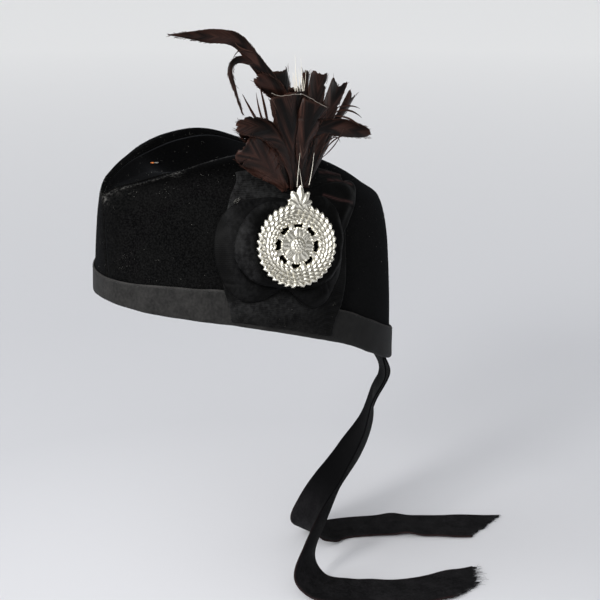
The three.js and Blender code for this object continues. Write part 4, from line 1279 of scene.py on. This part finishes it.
def ring_offset(turn, radius, y, z):
    share = (radius - RING_INNER) / (ring["reach"](turn) - RING_INNER)
    pleat = RING_PLEAT_DEPTH * (1 + cosine(turn * RING_PLEATS)) * share
    bare = bow_offset(turn, radius, y, z) + SILK_THICKNESS + SILK_GAP
    return bare + pleat + ring["puff"](turn) * swell(share)


def line_distance(y, z, line):
    """Distances from places on the wall to a line through points."""
    nearest = np.full(np.broadcast(y, z).shape, np.inf)
    for (y0, z0), (y1, z1) in zip(line[:-1], line[1:]):
        run, rise = y1 - y0, z1 - z0
        share = np.clip(((y - y0) * run + (z - z0) * rise) / (run ** 2 + rise ** 2), 0, 1)
        nearest = np.minimum(nearest, np.hypot(y - y0 - share * run, z - z0 - share * rise))
    return nearest


def on_lines(y, z, lines, width):
    return sum(bell(line_distance(y, z, line), width) for line in lines)


def silk_marks(y, z):
    """Shares of crease, with the painted shadow under cut edges, and of painted highlight on cut edges, at
    places on the silk.
    """
    crease_and_shade = on_lines(y, z, CREASES, CREASE_WIDTH)
    under = on_lines(y, z + CUT_EDGE_SHADE, CUT_EDGES, CREASE_WIDTH)
    edge = on_lines(y, z, CUT_EDGES, CUT_EDGE_WIDTH)
    return np.clip(crease_and_shade + under, 0, 1), np.clip(edge, 0, 1)


def silk_shade(y, z):
    """Shares of shade on the silk: towards the back, towards the rim and beside the light band."""
    back = SHADED_SHARE * smoothstep(y, *SHADED)
    low = LOW_SHADED_SHARE * smoothstep(z, *LOW_SHADED)
    before = smoothstep(y, BAND_FRONT, BAND_FRONT - BAND_EDGE)
    behind = smoothstep(y, BAND_BACK, BAND_BACK + BAND_EDGE)
    level = smoothstep(z, BAND_LOW, BAND_LOW + BAND_EDGE) * smoothstep(z, BAND_HIGH, BAND_HIGH - BAND_EDGE)
    beside = BAND_SHADED_SHARE * np.maximum(before, behind) * level
    return np.maximum(np.maximum(back, low), beside)


def silk_sheet(name, inner, outward, raised, y, z, material, node, closed=False):
    """A layer of silk on its inner side's points, pressed in along its creases, with painted shade and
    painted edge highlights.
    """
    crease_and_shade, edge = silk_marks(y, z)
    outer = inner + outward * (SILK_THICKNESS + raised - CREASE_DEPTH * crease_and_shade)[..., None]
    # painted shade along creases and across shaded parts, painted highlight on cut edges
    paint = {"crease_and_shade": np.maximum(crease_and_shade, silk_shade(y, z)), "edge": EDGE_HIGHLIGHT_SHARE * edge}
    uv = np.stack(np.broadcast_arrays(y, z), -1)
    sheet_piece(name, outer, inner, [material], paint, closed=closed, uv=uv, slot="silk", node=node)
    return outer


def cockade_patch():
    u = shares(PATCH_STEPS)[:, None]
    lift = lerp(PATCH_ROWS[0][0], PATCH_ROWS[-1][0], shares(PATCH_STEPS)[None, :])
    front = patch["front"](lift)
    y = lerp(front, patch["back"](lift), u)
    z = crown["rim"](turn_at(y)) + lift * wall_height(1, turn_at(y))
    inner, outward = wall_spot(y, z, patch_offset(y, z))
    hem = HEM_HEIGHT * smoothstep(y - front, *HEM_EDGE)
    gathers = np.sin(math.tau * (z / GATHER_LENGTH + drift(inner, **GATHER_WANDER)))
    gathers = GATHER_DEPTH * smoothstep(z, *GATHERED) * gathers
    raised = np.clip(hem + drift(inner, **PATCH_UNEVEN) + gathers, *PATCH_RAISED)
    return silk_sheet("silk_patch", inner, outward, raised, y, z, patch_silk, "cockade_patch"), outward


def silk_round(name, inner_radius, reach, offset_at, seed, material, node):
    """A layer of silk laid round the cockade's centre, with soft folds that run round it."""
    turn = np.linspace(0, 360, SILK_STEPS_ROUND, endpoint=False)[:, None]
    share = shares(SILK_STEPS_OUT)[None, :]
    radius = lerp(inner_radius, reach(turn), share)
    y = COCKADE_Y + radius * cosine(turn)
    z = COCKADE_Z + radius * sine(turn)
    inner, outward = wall_spot(y, z, offset_at(turn, radius, y, z))
    folds = np.sin(math.tau * (SILK_FOLDS * share + drift(inner, seed=seed + 3, **FOLD_WANDER)))
    folds = SILK_FOLD_HEIGHT * smoothstep(share, 0, SILK_FOLDS_FULL) * folds
    raised = folds + drift(inner, seed=seed + 1, **SILK_UNEVEN)
    silk_sheet(name, inner, outward, raised, y, z, material, node, closed=True)


def hem_threads(heap, rng, outer, outward):
    s = shares(len(HEM_THREAD_RADII) - 1)[:, None]
    for _ in range(HEM_THREADS):
        i = rng.integers(2, len(outer) - 2)
        j = rng.integers(0, HEM_THREAD_ROWS)
        lean = np.array([0, rng.normal(scale=HEM_THREAD_LEAN), 0])
        length = rng.uniform(*HEM_THREAD_LENGTHS)
        down = unit(outer[i, j] - outer[i, j + HEM_THREAD_RUN]) + outward[i, j] * HEM_THREAD_LIFT
        path = outer[i, j] + (down + lean) * length * s
        path = path + outward[i, j] * (THREAD_CLEARANCE + THREAD_ARCH * s * s)
        heap.add(tube(path, HEM_THREAD_RADII), tone=0.0)


def hem_tuft(heap, rng, outer, outward):
    s = shares(len(TUFT_RADII) - 1)[:, None]
    for _ in range(TUFT_THREADS):
        j = TUFT_ROW + rng.integers(*TUFT_ROWS)
        i = rng.integers(*TUFT_COLUMNS)
        away = unit(np.array([TUFT_OUT, rng.normal(scale=TUFT_SPREAD), rng.normal(*TUFT_RISE)]))
        path = outer[i, j] + outward[i, j] * THREAD_CLEARANCE + away * rng.uniform(*TUFT_LENGTHS) * s
        path = path + outward[i, j] * s * (1 - s) * TUFT_CURL
        heap.add(tube(path, TUFT_RADII), tone=rng.uniform(*TUFT_TONES))


def cockade_fray(outer, outward):
    """Loose threads at the patch's lower edge and a small tuft on its hem."""
    heap = Heap()
    rng = np.random.default_rng(COCKADE_FRAY_SEED)
    hem_threads(heap, rng, outer, outward)
    hem_tuft(heap, rng, outer, outward)
    heap.piece("cockade_fray", lint_pale, slot="silk")


# Badge
def dome(centre, half_long, half_wide, height, turn=0, rows=7, around=20, ridge=0.0, point=1.0):
    """A closed low dome in the badge's plane; ridge lifts its long middle and point sharpens its ends."""
    angle = np.linspace(0, math.tau, around, endpoint=False)[None, :]
    share = np.linspace(1, 0, rows)[:, None]
    x = half_long * share * np.cos(angle)
    y = half_wide * share * np.abs(np.sin(angle)) ** point * np.sign(np.sin(angle))
    z = height * np.sqrt(np.clip(1 - share ** 2, 0, 1))
    z = z + ridge * height * bell(y, DOME_RIDGE_WIDTH * half_wide) * (1 - share)
    c, s = cosine(turn), sine(turn)
    upper = np.stack([centre[0] + c * x - s * y, centre[1] + s * x + c * y, z + centre[2]], -1)
    ids = np.arange(rows * around).reshape(rows, around)
    low = np.arange(around) + rows * around
    rings = np.vstack([low, ids])
    quads = np.stack([rings[:-1], np.roll(rings[:-1], -1, 1), np.roll(rings[1:], -1, 1), rings[1:]], -1)
    base = upper[0] * np.array([1, 1, 0])
    faces = [*quads.reshape(-1, 4).tolist(), low[::-1].tolist(), ids[-1].tolist()]
    return np.concatenate([upper.reshape(-1, 3), base]), faces


def bead(x, y, foot, size, height):
    return dome((x, y, foot), size, size, height, rows=5, around=10)


def round_places(reach, count, shift=0.0):
    """Places on a circle round the badge's middle, with the turn of each."""
    for i in range(count):
        turn = (i + shift) * 360 / count
        yield reach * cosine(turn), reach * sine(turn), turn


def oval(share, spread):
    angle = share * math.tau
    return (FRAME_HALF_WIDTH + spread) * math.cos(angle), (FRAME_HALF_HEIGHT + spread) * math.sin(angle)


def badge_frame(heap):
    points = [(*oval(i / FRAME_STEPS, FRAME_BAND * place), height)
              for i in range(FRAME_STEPS) for place, height in FRAME_PROFILE]
    ids = np.arange(len(points)).reshape(FRAME_STEPS, len(FRAME_PROFILE))
    across, ahead = np.roll(ids, -1, 1), np.roll(ids, -1, 0)
    quads = np.stack([ids, ahead, np.roll(ahead, -1, 1), across], -1).reshape(-1, 4)
    heap.add((np.array(points), quads.tolist()))
    for spread, shift, slant, half_long, half_wide, count in FRAME_LEAVES:
        for i in range(count):
            x, y = oval((i + shift) / count, spread)
            along = math.degrees(math.atan2(y / FRAME_HALF_HEIGHT, x / FRAME_HALF_WIDTH)) + 90
            turn = along + (slant if x < 0 else -slant)
            heap.add(dome((x, y, LEAF_FOOT), half_long, half_wide, LEAF_HEIGHT, turn, ridge=0.5, point=1.3))
            berry = oval((i + shift + 0.5) / count, spread + BERRY_SPREAD)
            heap.add(bead(*berry, BERRY_FOOT, BERRY_SIZE, BERRY_HEIGHT))


def badge_rosette(heap):
    for x, y, turn in round_places(BAR_REACH, BAR_COUNT, shift=0.5):
        centre = (x, y, PLATE_FOOT)
        heap.add(dome(centre, BAR_HALF_LENGTH, BAR_HALF_WIDTH, BAR_HEIGHT, turn, ridge=0.4, point=0.4))
    heap.add(dome((0, 0, PLATE_FOOT), ROSETTE_PLATE, ROSETTE_PLATE, PLATE_HEIGHT, around=48))
    for x, y, turn in round_places(ROSETTE_REACH, ROSETTE_PETALS):
        centre = (x, y, LEAF_FOOT)
        heap.add(dome(centre, PETAL_HALF_LENGTH, PETAL_HALF_WIDTH, PETAL_HEIGHT, turn,
                      ridge=-0.45, point=0.8))
    for reach, count, size in BEAD_RINGS:
        for x, y, _ in round_places(reach, count):
            heap.add(bead(x, y, BOSS_FOOT, size, BEAD_HEIGHT))
    heap.add(dome((0, 0, BOSS_FOOT), BOSS_RADIUS, BOSS_RADIUS, BOSS_HEIGHT, rows=12, around=40))
    for reach, count in BOSS_GRAINS:
        foot = GRAIN_FOOT + BOSS_HEIGHT * math.sqrt(1 - (reach / BOSS_RADIUS) ** 2)
        for x, y, _ in round_places(reach, count, shift=0.5 * (count % 2)):
            heap.add(bead(x, y, foot, GRAIN_SIZE, GRAIN_HEIGHT))


def badge_fan(heap):
    for lean, length in FAN_LOBES:
        x, y = length * sine(lean), length * cosine(lean)
        middle = (x / 2, FAN_BASE + y / 2, FAN_FOOT)
        heap.add(dome(middle, length / 2, LOBE_HALF_WIDTH, LOBE_HEIGHT, 90 - lean, ridge=0.55, point=0.8))
        tip = (TIP_SHARE * x, FAN_BASE + TIP_SHARE * y, TIP_FOOT)
        heap.add(dome(tip, TIP_SIZE, TIP_SIZE, TIP_SIZE, rows=6, around=14))
    centre = (0, FAN_BASE + FAN_BAR_RISE, TIP_FOOT)
    heap.add(dome(centre, FAN_BAR_HALF_LENGTH, FAN_BAR_HALF_WIDTH, FAN_BAR_HEIGHT, around=28))


def placed_on_badge(local):
    """Points of the badge's own plane, set on the cockade."""
    point, outward = wall_spot(np.array(BADGE_Y), np.array(BADGE_Z), np.array(BADGE_CLEARANCE))
    level = unit(np.cross(UP, outward))
    steep = np.cross(outward, level)
    right = level * cosine(BADGE_LEAN) - steep * sine(BADGE_LEAN)
    upward = level * sine(BADGE_LEAN) + steep * cosine(BADGE_LEAN)
    return point + local[:, :1] * right + local[:, 1:2] * upward + local[:, 2:] * outward


def badge():
    """The shapes of the badge, cast into one skin with small cells and smoothed a little."""
    heap = Heap()
    badge_frame(heap)
    badge_rosette(heap)
    badge_fan(heap)
    points = placed_on_badge(np.concatenate(heap.points))
    piece = make_piece("badge_cast", points, heap.faces, [metal], slot="white_metal", node="badge")
    cast = piece.modifiers.new("cast", "REMESH")
    cast.mode = "VOXEL"
    cast.voxel_size = CAST_GRAIN * MM
    soften = piece.modifiers.new("soften", "SMOOTH")
    soften.factor = CAST_SOFTEN_SHARE
    soften.iterations = CAST_SOFTEN_ROUNDS
    skin = bpy.data.meshes.new_from_object(piece.evaluated_get(bpy.context.evaluated_depsgraph_get()))
    piece.modifiers.clear()
    piece.data = skin
    paint_hollows(skin)
    skin.shade_smooth()


def mesh_values(items, key, width, kind=float):
    values = np.zeros(len(items) * width, kind)
    items.foreach_get(key, values)
    return values.reshape(-1, width)


def paint_hollows(mesh):
    """Marks the points that lie lower than those round them, for dirt and painted shade in the casting's
    hollows.
    """
    points = mesh_values(mesh.vertices, "co", 3) / MM
    normals = mesh_values(mesh.vertices, "normal", 3)
    edges = mesh_values(mesh.edges, "vertices", 2, np.int32)
    count = np.bincount(edges.ravel(), minlength=len(points))[:, None]
    level = points
    for _ in range(HOLLOW_ROUNDS):
        total = np.zeros_like(level)
        np.add.at(total, edges[:, 0], level[edges[:, 1]])
        np.add.at(total, edges[:, 1], level[edges[:, 0]])
        level = total / np.maximum(count, 1)
    sunk = ((level - points) * normals).sum(-1)
    layer = mesh.attributes.new("hollow", "FLOAT", "POINT")
    layer.data.foreach_set("value", np.clip(sunk / HOLLOW_DEPTH, 0, 1).astype(np.float32))


# Plume
def strand(feather, start):
    """Places along a feather, with its direction, its side and its face at each."""
    t = shares(FEATHER_STEPS)
    lean = np.full_like(t, feather["lean"])
    for turn, low, high in feather["bends"]:
        lean += turn * smoothstep(t, low, high)
    ahead = np.stack([np.zeros_like(t), -sine(lean), cosine(lean)], -1)
    moves = ahead[:-1] * (feather["length"] / FEATHER_STEPS)
    places = np.concatenate([[start], start + moves.cumsum(0)])
    places[:, 0] = start[0] + feather["outward"] * t ** OUTWARD_POWER
    twist = feather["twist"]
    level = np.stack([np.zeros_like(t), cosine(lean), sine(lean)], -1)
    side = level * cosine(twist) + np.array(LEFT) * sine(twist)
    return t, places, unit(np.gradient(places, axis=0)), side, unit(np.cross(ahead, side))


def half_width(feather, t):
    grown = lerp(STRIP_FOOT_WIDTH, feather["width"], smoothstep(t, 0, feather["grown"]))
    taper = np.clip((t - feather["taper"]) / (1 - feather["taper"]), 0, 1)
    left = (1 - taper ** feather["point"]) ** (1 / feather["point"])
    return grown * lerp(feather["tip"], 1, left) / 2


def along_strand(values, t):
    """Values at shares t of a strand, between its steps."""
    place = np.clip(t, 0, 1) * (len(values) - 1)
    i = np.minimum(place.astype(int), len(values) - 2)
    return lerp(values[i], values[i + 1], (place - i)[..., None])


def by_fray(feather, least, added):
    return least + added * feather["fray"]


def slits(feather, t, rng):
    """Shares of the width left at each step, with slits that open towards the tip."""
    left = np.ones_like(t)
    for _ in range(int(by_fray(feather, *SLIT_COUNT))):
        place = rng.uniform(*SLIT_PLACES)
        depth = rng.uniform(SLIT_SHALLOW, by_fray(feather, *SLIT_DEPTH))
        past = (t - place) * SLITS_PER_LENGTH
        left -= np.where((past > 0) & (past < 1), depth * (1 - past), 0)
    return np.clip(left, LEAST_LEFT, 1)


def blade(heap, feather, lines, rng):
    """The vane of a feather as a thin, lightly cupped and rippled blade with a ragged end."""
    t, places, _, side, face = lines
    v = np.linspace(-1, 1, BLADE_STEPS_ACROSS + 1)
    ragged = rng.random(len(v)) * by_fray(feather, *RAGGED_DEPTH) + feather["notch"] * (1 - np.abs(v))
    share = t[:, None] * (1 - ragged * t[:, None] ** RAGGED_POWER)
    half = half_width(feather, t)
    left, right = (half * slits(feather, t, rng) for _ in range(2))
    across = np.where(v < 0, left[:, None], right[:, None]) * v
    phase, ripples = rng.uniform(0, math.tau), rng.uniform(*RIPPLE_COUNTS)
    ripple = BLADE_RIPPLE * np.sin(share * ripples * math.tau + phase + RIPPLE_SKEW * v) * v ** 2
    cup = BLADE_CUP * (v ** 2 - CUP_LEVEL) * smoothstep(share, *CUPPED)
    outward = along_strand(face, share)
    front = along_strand(places, share) + along_strand(side, share) * across[..., None]
    front = front + outward * feather["width"] * (cup + ripple)[..., None]
    back = front - outward * (BLADE_THICKNESS * (1 - BLADE_THINNED * v ** 2))[:, None]
    points, quads, _ = sheet_mesh(front, back)
    weave = np.stack([share * feather["length"] + rng.uniform(0, WEAVE_SHIFT), across], -1).reshape(-1, 2)
    # painted highlight: the blade's edges and end turn reddish
    tip = np.maximum(smoothstep(np.abs(v), *HIGHLIT_EDGE) * FEATHER_EDGE_LIGHT_SHARE,
                     smoothstep(share, *HIGHLIT_END) * FEATHER_END_LIGHT_SHARE)
    # painted shade: darker towards the feather's foot
    tone = feather["tone"] * lerp(FOOT_SHADE_TONE, 1, smoothstep(share, *FOOT_SHADE_ENDS))
    heap.add((points, quads), uv=np.tile(weave, (2, 1)), tone=np.tile(tone.ravel(), 2),
             tip=np.tile(tip.ravel(), 2))


def fringe(heap, feather, lines, rng):
    """Barbs that stand free of the blade's edges and end."""
    _, places, ahead, side, face = lines
    length = feather["length"]
    s = shares(len(FRINGE_RADII) - 1)
    for hand in (-1, 1):
        for root in np.arange(*FRINGE_ROOTS, FRINGE_SPACING / length):
            if rng.random() > by_fray(feather, *FRINGE_CHANCE):
                continue
            reach = rng.uniform(*FRINGE_LENGTHS) * by_fray(feather, *FRINGE_STRETCH)
            opening = rng.uniform(FRINGE_LEAST_OPENING, by_fray(feather, *FRINGE_OPENING))
            at = root + reach * cosine(opening) * s / length
            half = half_width(feather, np.full(len(s), root))
            out = hand * (FRINGE_ROOT * half + reach * sine(opening) * s)
            lift = rng.normal(scale=FRINGE_LIFT) * s ** 2
            past = np.maximum(at - 1, 0) * length
            path = (along_strand(places, at) + along_strand(side, at) * out[:, None]
                    + along_strand(face, at) * lift[:, None] + ahead[-1] * past[:, None])
            heap.add(tube(path, FRINGE_RADII, flat=0.5), uv=rng.uniform(0, WEAVE_SHIFT, 2),
                     tone=rng.uniform(*FRINGE_TONES), tip=0.75)


def feather(heap, row, start, rng):
    """Adds a feather's blade, free barbs and shaft, and gives the places along it."""
    lines = strand(row, start)
    blade(heap, row, lines, rng)
    fringe(heap, row, lines, rng)
    _, places, _, _, face = lines
    t = np.linspace(0, SHAFT_END, len(SHAFT_RADII))
    path = along_strand(places, t) + SHAFT_LIFT * along_strand(face, t)
    heap.add(tube(path, SHAFT_RADII, sides=6), uv=np.zeros(2), tone=0.6, tip=0.2)
    return places


def bent(start, bend, end, out):
    """A curve through a start, a bend and an end, each given as y and z, at one distance out."""
    s = shares(len(HAIR_PROFILE) - 1)[:, None]
    flat = (1 - s) ** 2 * np.array(start) + 2 * s * (1 - s) * np.array(bend) + s ** 2 * np.array(end)
    return np.column_stack([np.full(len(s), out), flat])


def plume():
    heap = Heap()
    rng = np.random.default_rng(PLUME_SEED)
    rows = [dict(zip(FEATHER_COLUMNS, values)) for values in (*FEATHERS, CURL)]
    routes = []
    for row in rows[:-1]:
        routes.append(feather(heap, row, KNOT + np.array([0, row["foot"], 0]), rng))
    feather(heap, rows[-1], along_strand(routes[0], np.array(CURL_SHARE)), rng)
    for y0, z0, y1, z1, y2, z2, out, size in HAIRS:
        path = bent((y0, z0), (y1, z1), (y2, z2), out)
        shape = tube(path, size * HAIR_PROFILE, sides=4, flat=HAIR_FLAT)
        heap.add(shape, uv=rng.uniform(0, WEAVE_SHIFT, 2), tone=0.4, tip=0.5)
    heap.piece("plume_feathers", feather_brown, slot="feather", node="plume")


def bare_quills(heap, rng):
    for y0, z0, y1, z1, out, size in QUILLS:
        bend = ((y0 + y1) / 2 + rng.normal(scale=QUILL_BEND), (z0 + z1) / 2)
        path = bent((y0, z0), bend, (y1, z1), out)
        heap.add(tube(path, size * np.linspace(1, QUILL_TIP_SHARE, len(path)), sides=5), tip=0.0)


def wisps(heap, rng):
    x, y, z = WISP_FOOT
    for k in range(WISP_COUNT):
        away = lerp(-0.5, 0.5, k / (WISP_COUNT - 1)) * WISP_SPREAD
        stretch = WISP_TALL if k % WISP_TALL_EVERY == WISP_TALL_FIRST else 1
        tall = WISP_LENGTH * rng.uniform(*WISP_SHARES) * stretch
        foot = y + WISP_FOOT_SHARE * away
        tip = y + away + rng.normal(scale=WISP_SCATTER) + WISP_LEAN
        bend = ((foot + tip) / 2 + rng.normal(scale=QUILL_BEND), z + tall / 2)
        path = bent((foot, z), bend, (tip, z + tall), x + rng.normal(scale=QUILL_BEND))
        radii = rng.uniform(*WISP_SIZES) * np.linspace(1, WISP_TIP_SHARE, len(path))
        heap.add(tube(path, radii, sides=4), tip=0.0)


def quills():
    """Bare pale shafts at the plume's foot, white wisps at its top and a thread tied round it."""
    heap = Heap()
    rng = np.random.default_rng(QUILL_SEED)
    bare_quills(heap, rng)
    wisps(heap, rng)
    knots = np.array([(PLUME_THREAD_OUT, y, z) for y, z in PLUME_THREAD], float)
    path = smooth_route(knots, shares(PLUME_THREAD_STEPS - 1))
    path[:, 2] += drift(path, **PLUME_THREAD_WAVE)
    heap.add(tube(path, PLUME_THREAD_RADIUS, sides=5), tip=PLUME_THREAD_TINT)
    heap.piece("plume_quills", quill_pale, slot="feather")


# Lint
def speck(heap, rng, place, up, size, tone):
    across = unit(np.cross(up, rng.normal(size=3)))
    path = place + up * SPECK_LIFT + across * size * SPECK_ENDS[:, None]
    heap.add(tube(path, size * SPECK_RADII, sides=5, face=up), tone=tone, warm=0.0)


def fibre(heap, rng, place, up):
    across = unit(np.cross(up, rng.normal(size=3)))
    length, bend = rng.uniform(*FIBRE_LENGTHS), rng.normal(scale=FIBRE_BEND)
    s = np.linspace(-0.5, 0.5, FIBRE_POINTS)[:, None]
    path = place + up * (FIBRE_LIFT + FIBRE_ARCH * (0.25 - s * s)) + across * length * s
    path = path + np.cross(up, across) * bend * length * s * s
    heap.add(tube(path, FIBRE_RADIUS, face=up), tone=FIBRE_TONE * rng.random(), warm=0.0)


def clusters(heap, rng, face, outward):
    places, ups = face.reshape(-1, 3), outward.reshape(-1, 3)
    for spot in LINT_CLUSTERS:
        near = np.flatnonzero(np.linalg.norm(places - np.array(spot), axis=-1) < CLUSTER_RADIUS)
        for k in rng.choice(near, CLUSTER_COUNT):
            aside = np.cross(ups[k], rng.normal(size=3)) * CLUSTER_SCATTER
            size, tone = rng.uniform(*CLUSTER_SIZES), rng.uniform(*CLUSTER_TONES)
            speck(heap, rng, places[k] + aside, ups[k], size, tone)


def fleck(heap, face, outward):
    """A bright scrap on the top: an orange end and a white one."""
    places, ups = face.reshape(-1, 3), outward.reshape(-1, 3)
    k = int(np.argmin(np.linalg.norm(places - np.array(FLECK_PLACE), axis=-1)))
    s = shares(len(FLECK_RADII) - 1)[:, None]
    for start, warm in FLECK_PARTS:
        path = places[k] + ups[k] * FLECK_LIFT + FLECK_RUN * (start + FLECK_LENGTH * s)
        heap.add(tube(path, FLECK_RADII, sides=7, flat=0.5, face=ups[k]), tone=FLECK_TONE, warm=warm)


def lint(left, right, top, patch_side):
    """Specks and fibres on each cloth, given as its face and its outward directions."""
    heap = Heap()
    rng = np.random.default_rng(LINT_SEED)
    for (face, outward), (specks, fibres) in zip((left, right, top, patch_side), LINT_COUNTS):
        rows, columns = face.shape[:2]
        for k in range(specks + fibres):
            i, j = rng.integers(1, rows - 1), rng.integers(1, columns - 1)
            if k < specks:
                size, tone = rng.uniform(*SPECK_SIZES), rng.random() ** SPECK_TONE_POWER
                speck(heap, rng, face[i, j], outward[i, j], size, tone)
            else:
                fibre(heap, rng, face[i, j], outward[i, j])
    clusters(heap, rng, *left)
    fleck(heap, *top)
    heap.piece("lint", lint_pale, slot="velvet")


# Stage
def look_at(thing, place, target):
    thing.location = Vector(place) * MM
    thing.rotation_euler = (Vector(target) - Vector(place)).to_track_quat("-Z", "Y").to_euler()


def camera():
    data = bpy.data.cameras.new("camera")
    data.lens = CAMERA_LENS
    data.sensor_width = SENSOR_WIDTH
    data.clip_end = CLIP_END
    made = add_object("camera", data)
    look_at(made, CAMERA_PLACE, CAMERA_TARGET)
    bpy.context.scene.camera = made


def key_light():
    data = bpy.data.lights.new("key", "AREA")
    data.shape = "DISK"
    data.size = KEY_SIZE * MM
    data.energy = KEY_POWER
    data.color = KEY_COLOUR
    look_at(add_object("key", data), KEY_PLACE, KEY_TARGET)


def sky():
    """A dim room with one broad bright side towards the cap's front."""
    world = bpy.data.worlds.new("studio")
    world.use_nodes = True
    nodes, links = world.node_tree.nodes, world.node_tree.links
    facing = nodes.new("ShaderNodeVectorMath")
    facing.operation = "DOT_PRODUCT"
    facing.inputs[1].default_value = Vector(SKY_BRIGHT_SIDE).normalized()
    links.new(nodes.new("ShaderNodeTexCoord").outputs["Generated"], facing.inputs[0])
    lobe = nodes.new("ShaderNodeMapRange")
    lobe.interpolation_type = "SMOOTHSTEP"
    links.new(facing.outputs["Value"], lobe.inputs[0])
    for socket, value in zip(lobe.inputs[1:5], (*SKY_LOBE, *SKY_STRENGTH)):
        socket.default_value = value
    links.new(lobe.outputs[0], nodes["Background"].inputs["Strength"])
    nodes["Background"].inputs["Color"].default_value = SKY_COLOUR
    return world


def stage():
    """A round paper floor, the room's light and one soft lamp."""
    points = [(FLOOR_RADIUS * x * MM, FLOOR_RADIUS * y * MM, FLOOR_LEVEL * MM)
              for x, y, _ in round_places(1, FLOOR_SIDES)]
    mesh = bpy.data.meshes.new("floor")
    mesh.from_pydata(points, [], [list(range(len(points)))])
    mesh.materials.append(floor_paint())
    floor = add_object("floor", mesh)
    bpy.context.scene.world = sky()
    key_light()
    bpy.context.scene.view_settings.view_transform = "Standard"


# The cap put together
velvet = velvet_paint()
velvet_back = velvet_back_paint()
binding = ribbon_paint("ribbon_binding", dark=(0.0078, 0.0078, 0.0077), light=(0.028, 0.027, 0.026),
                       edge=(0.05, 0.048, 0.046), shine=1.0)
# Painted shade: the tails are a darker, less shiny copy of the binding's ribbon.
tails = ribbon_paint("ribbon_tail", dark=(0.0024, 0.0024, 0.0027), light=(0.018, 0.0174, 0.0186),
                     edge=(0.03, 0.015, 0.015), shine=0.25)
patch_silk = silk_paint("silk_patch", dark=(0.0012, 0.0012, 0.0013), light=(0.0155, 0.0155, 0.0156),
                        ribbed=1.0)
bow_silk = silk_paint("silk_bow", dark=(0.0006, 0.0006, 0.0007), light=(0.0055, 0.0055, 0.0057), ribbed=0.3)
ring_silk = silk_paint("silk_ring", dark=(0.0009, 0.0009, 0.001), light=(0.0105, 0.0105, 0.0107), ribbed=0.3)
metal = metal_paint()
feather_brown = feather_paint()
quill_pale = quill_paint()
lint_pale = lint_paint()
thread_black = thread_paint("thread_black", (0.0012, 0.0012, 0.0012), sheen=0.0, shine=0.05)
thread_dark = thread_paint("thread_dark", (0.012, 0.012, 0.013))
thread_grey = thread_paint("thread_grey", (0.03, 0.03, 0.032))

camera()
stage()
left_side = side_panel(1, "velvet_left", 1.0, 1.0, "side_left")
right_side = side_panel(-1, "velvet_right", RIGHT_WORN_SHARE, FLAT_SEAM, "side_right")
top_side = crown_top()
seam_stitches()
rim_binding()
rim_stitches()
loose_ends = Heap()
for name, node, route, ending, teeth, waves, seed, threads, reach in TAILS:
    piece, face, ribbon_width = tail(name, node, route, ending, teeth, waves, seed)
    frayed_end(loose_ends, face, threads, reach, seed)
    width, length, area = flat_size(face, ribbon_width)
loose_ends.piece("tail_fray", thread_grey, slot="ribbon")
patch_side = cockade_patch()
silk_round("silk_bow", BOW_INNER, bow["reach"], bow_offset, BOW_SEED, bow_silk, "cockade_bow")
silk_round("silk_ring", RING_INNER, ring["reach"], ring_offset, RING_SEED, ring_silk, "cockade_ring")
cockade_fray(*patch_side)
badge()
plume()
quills()
lint(left_side, right_side, top_side, patch_side)
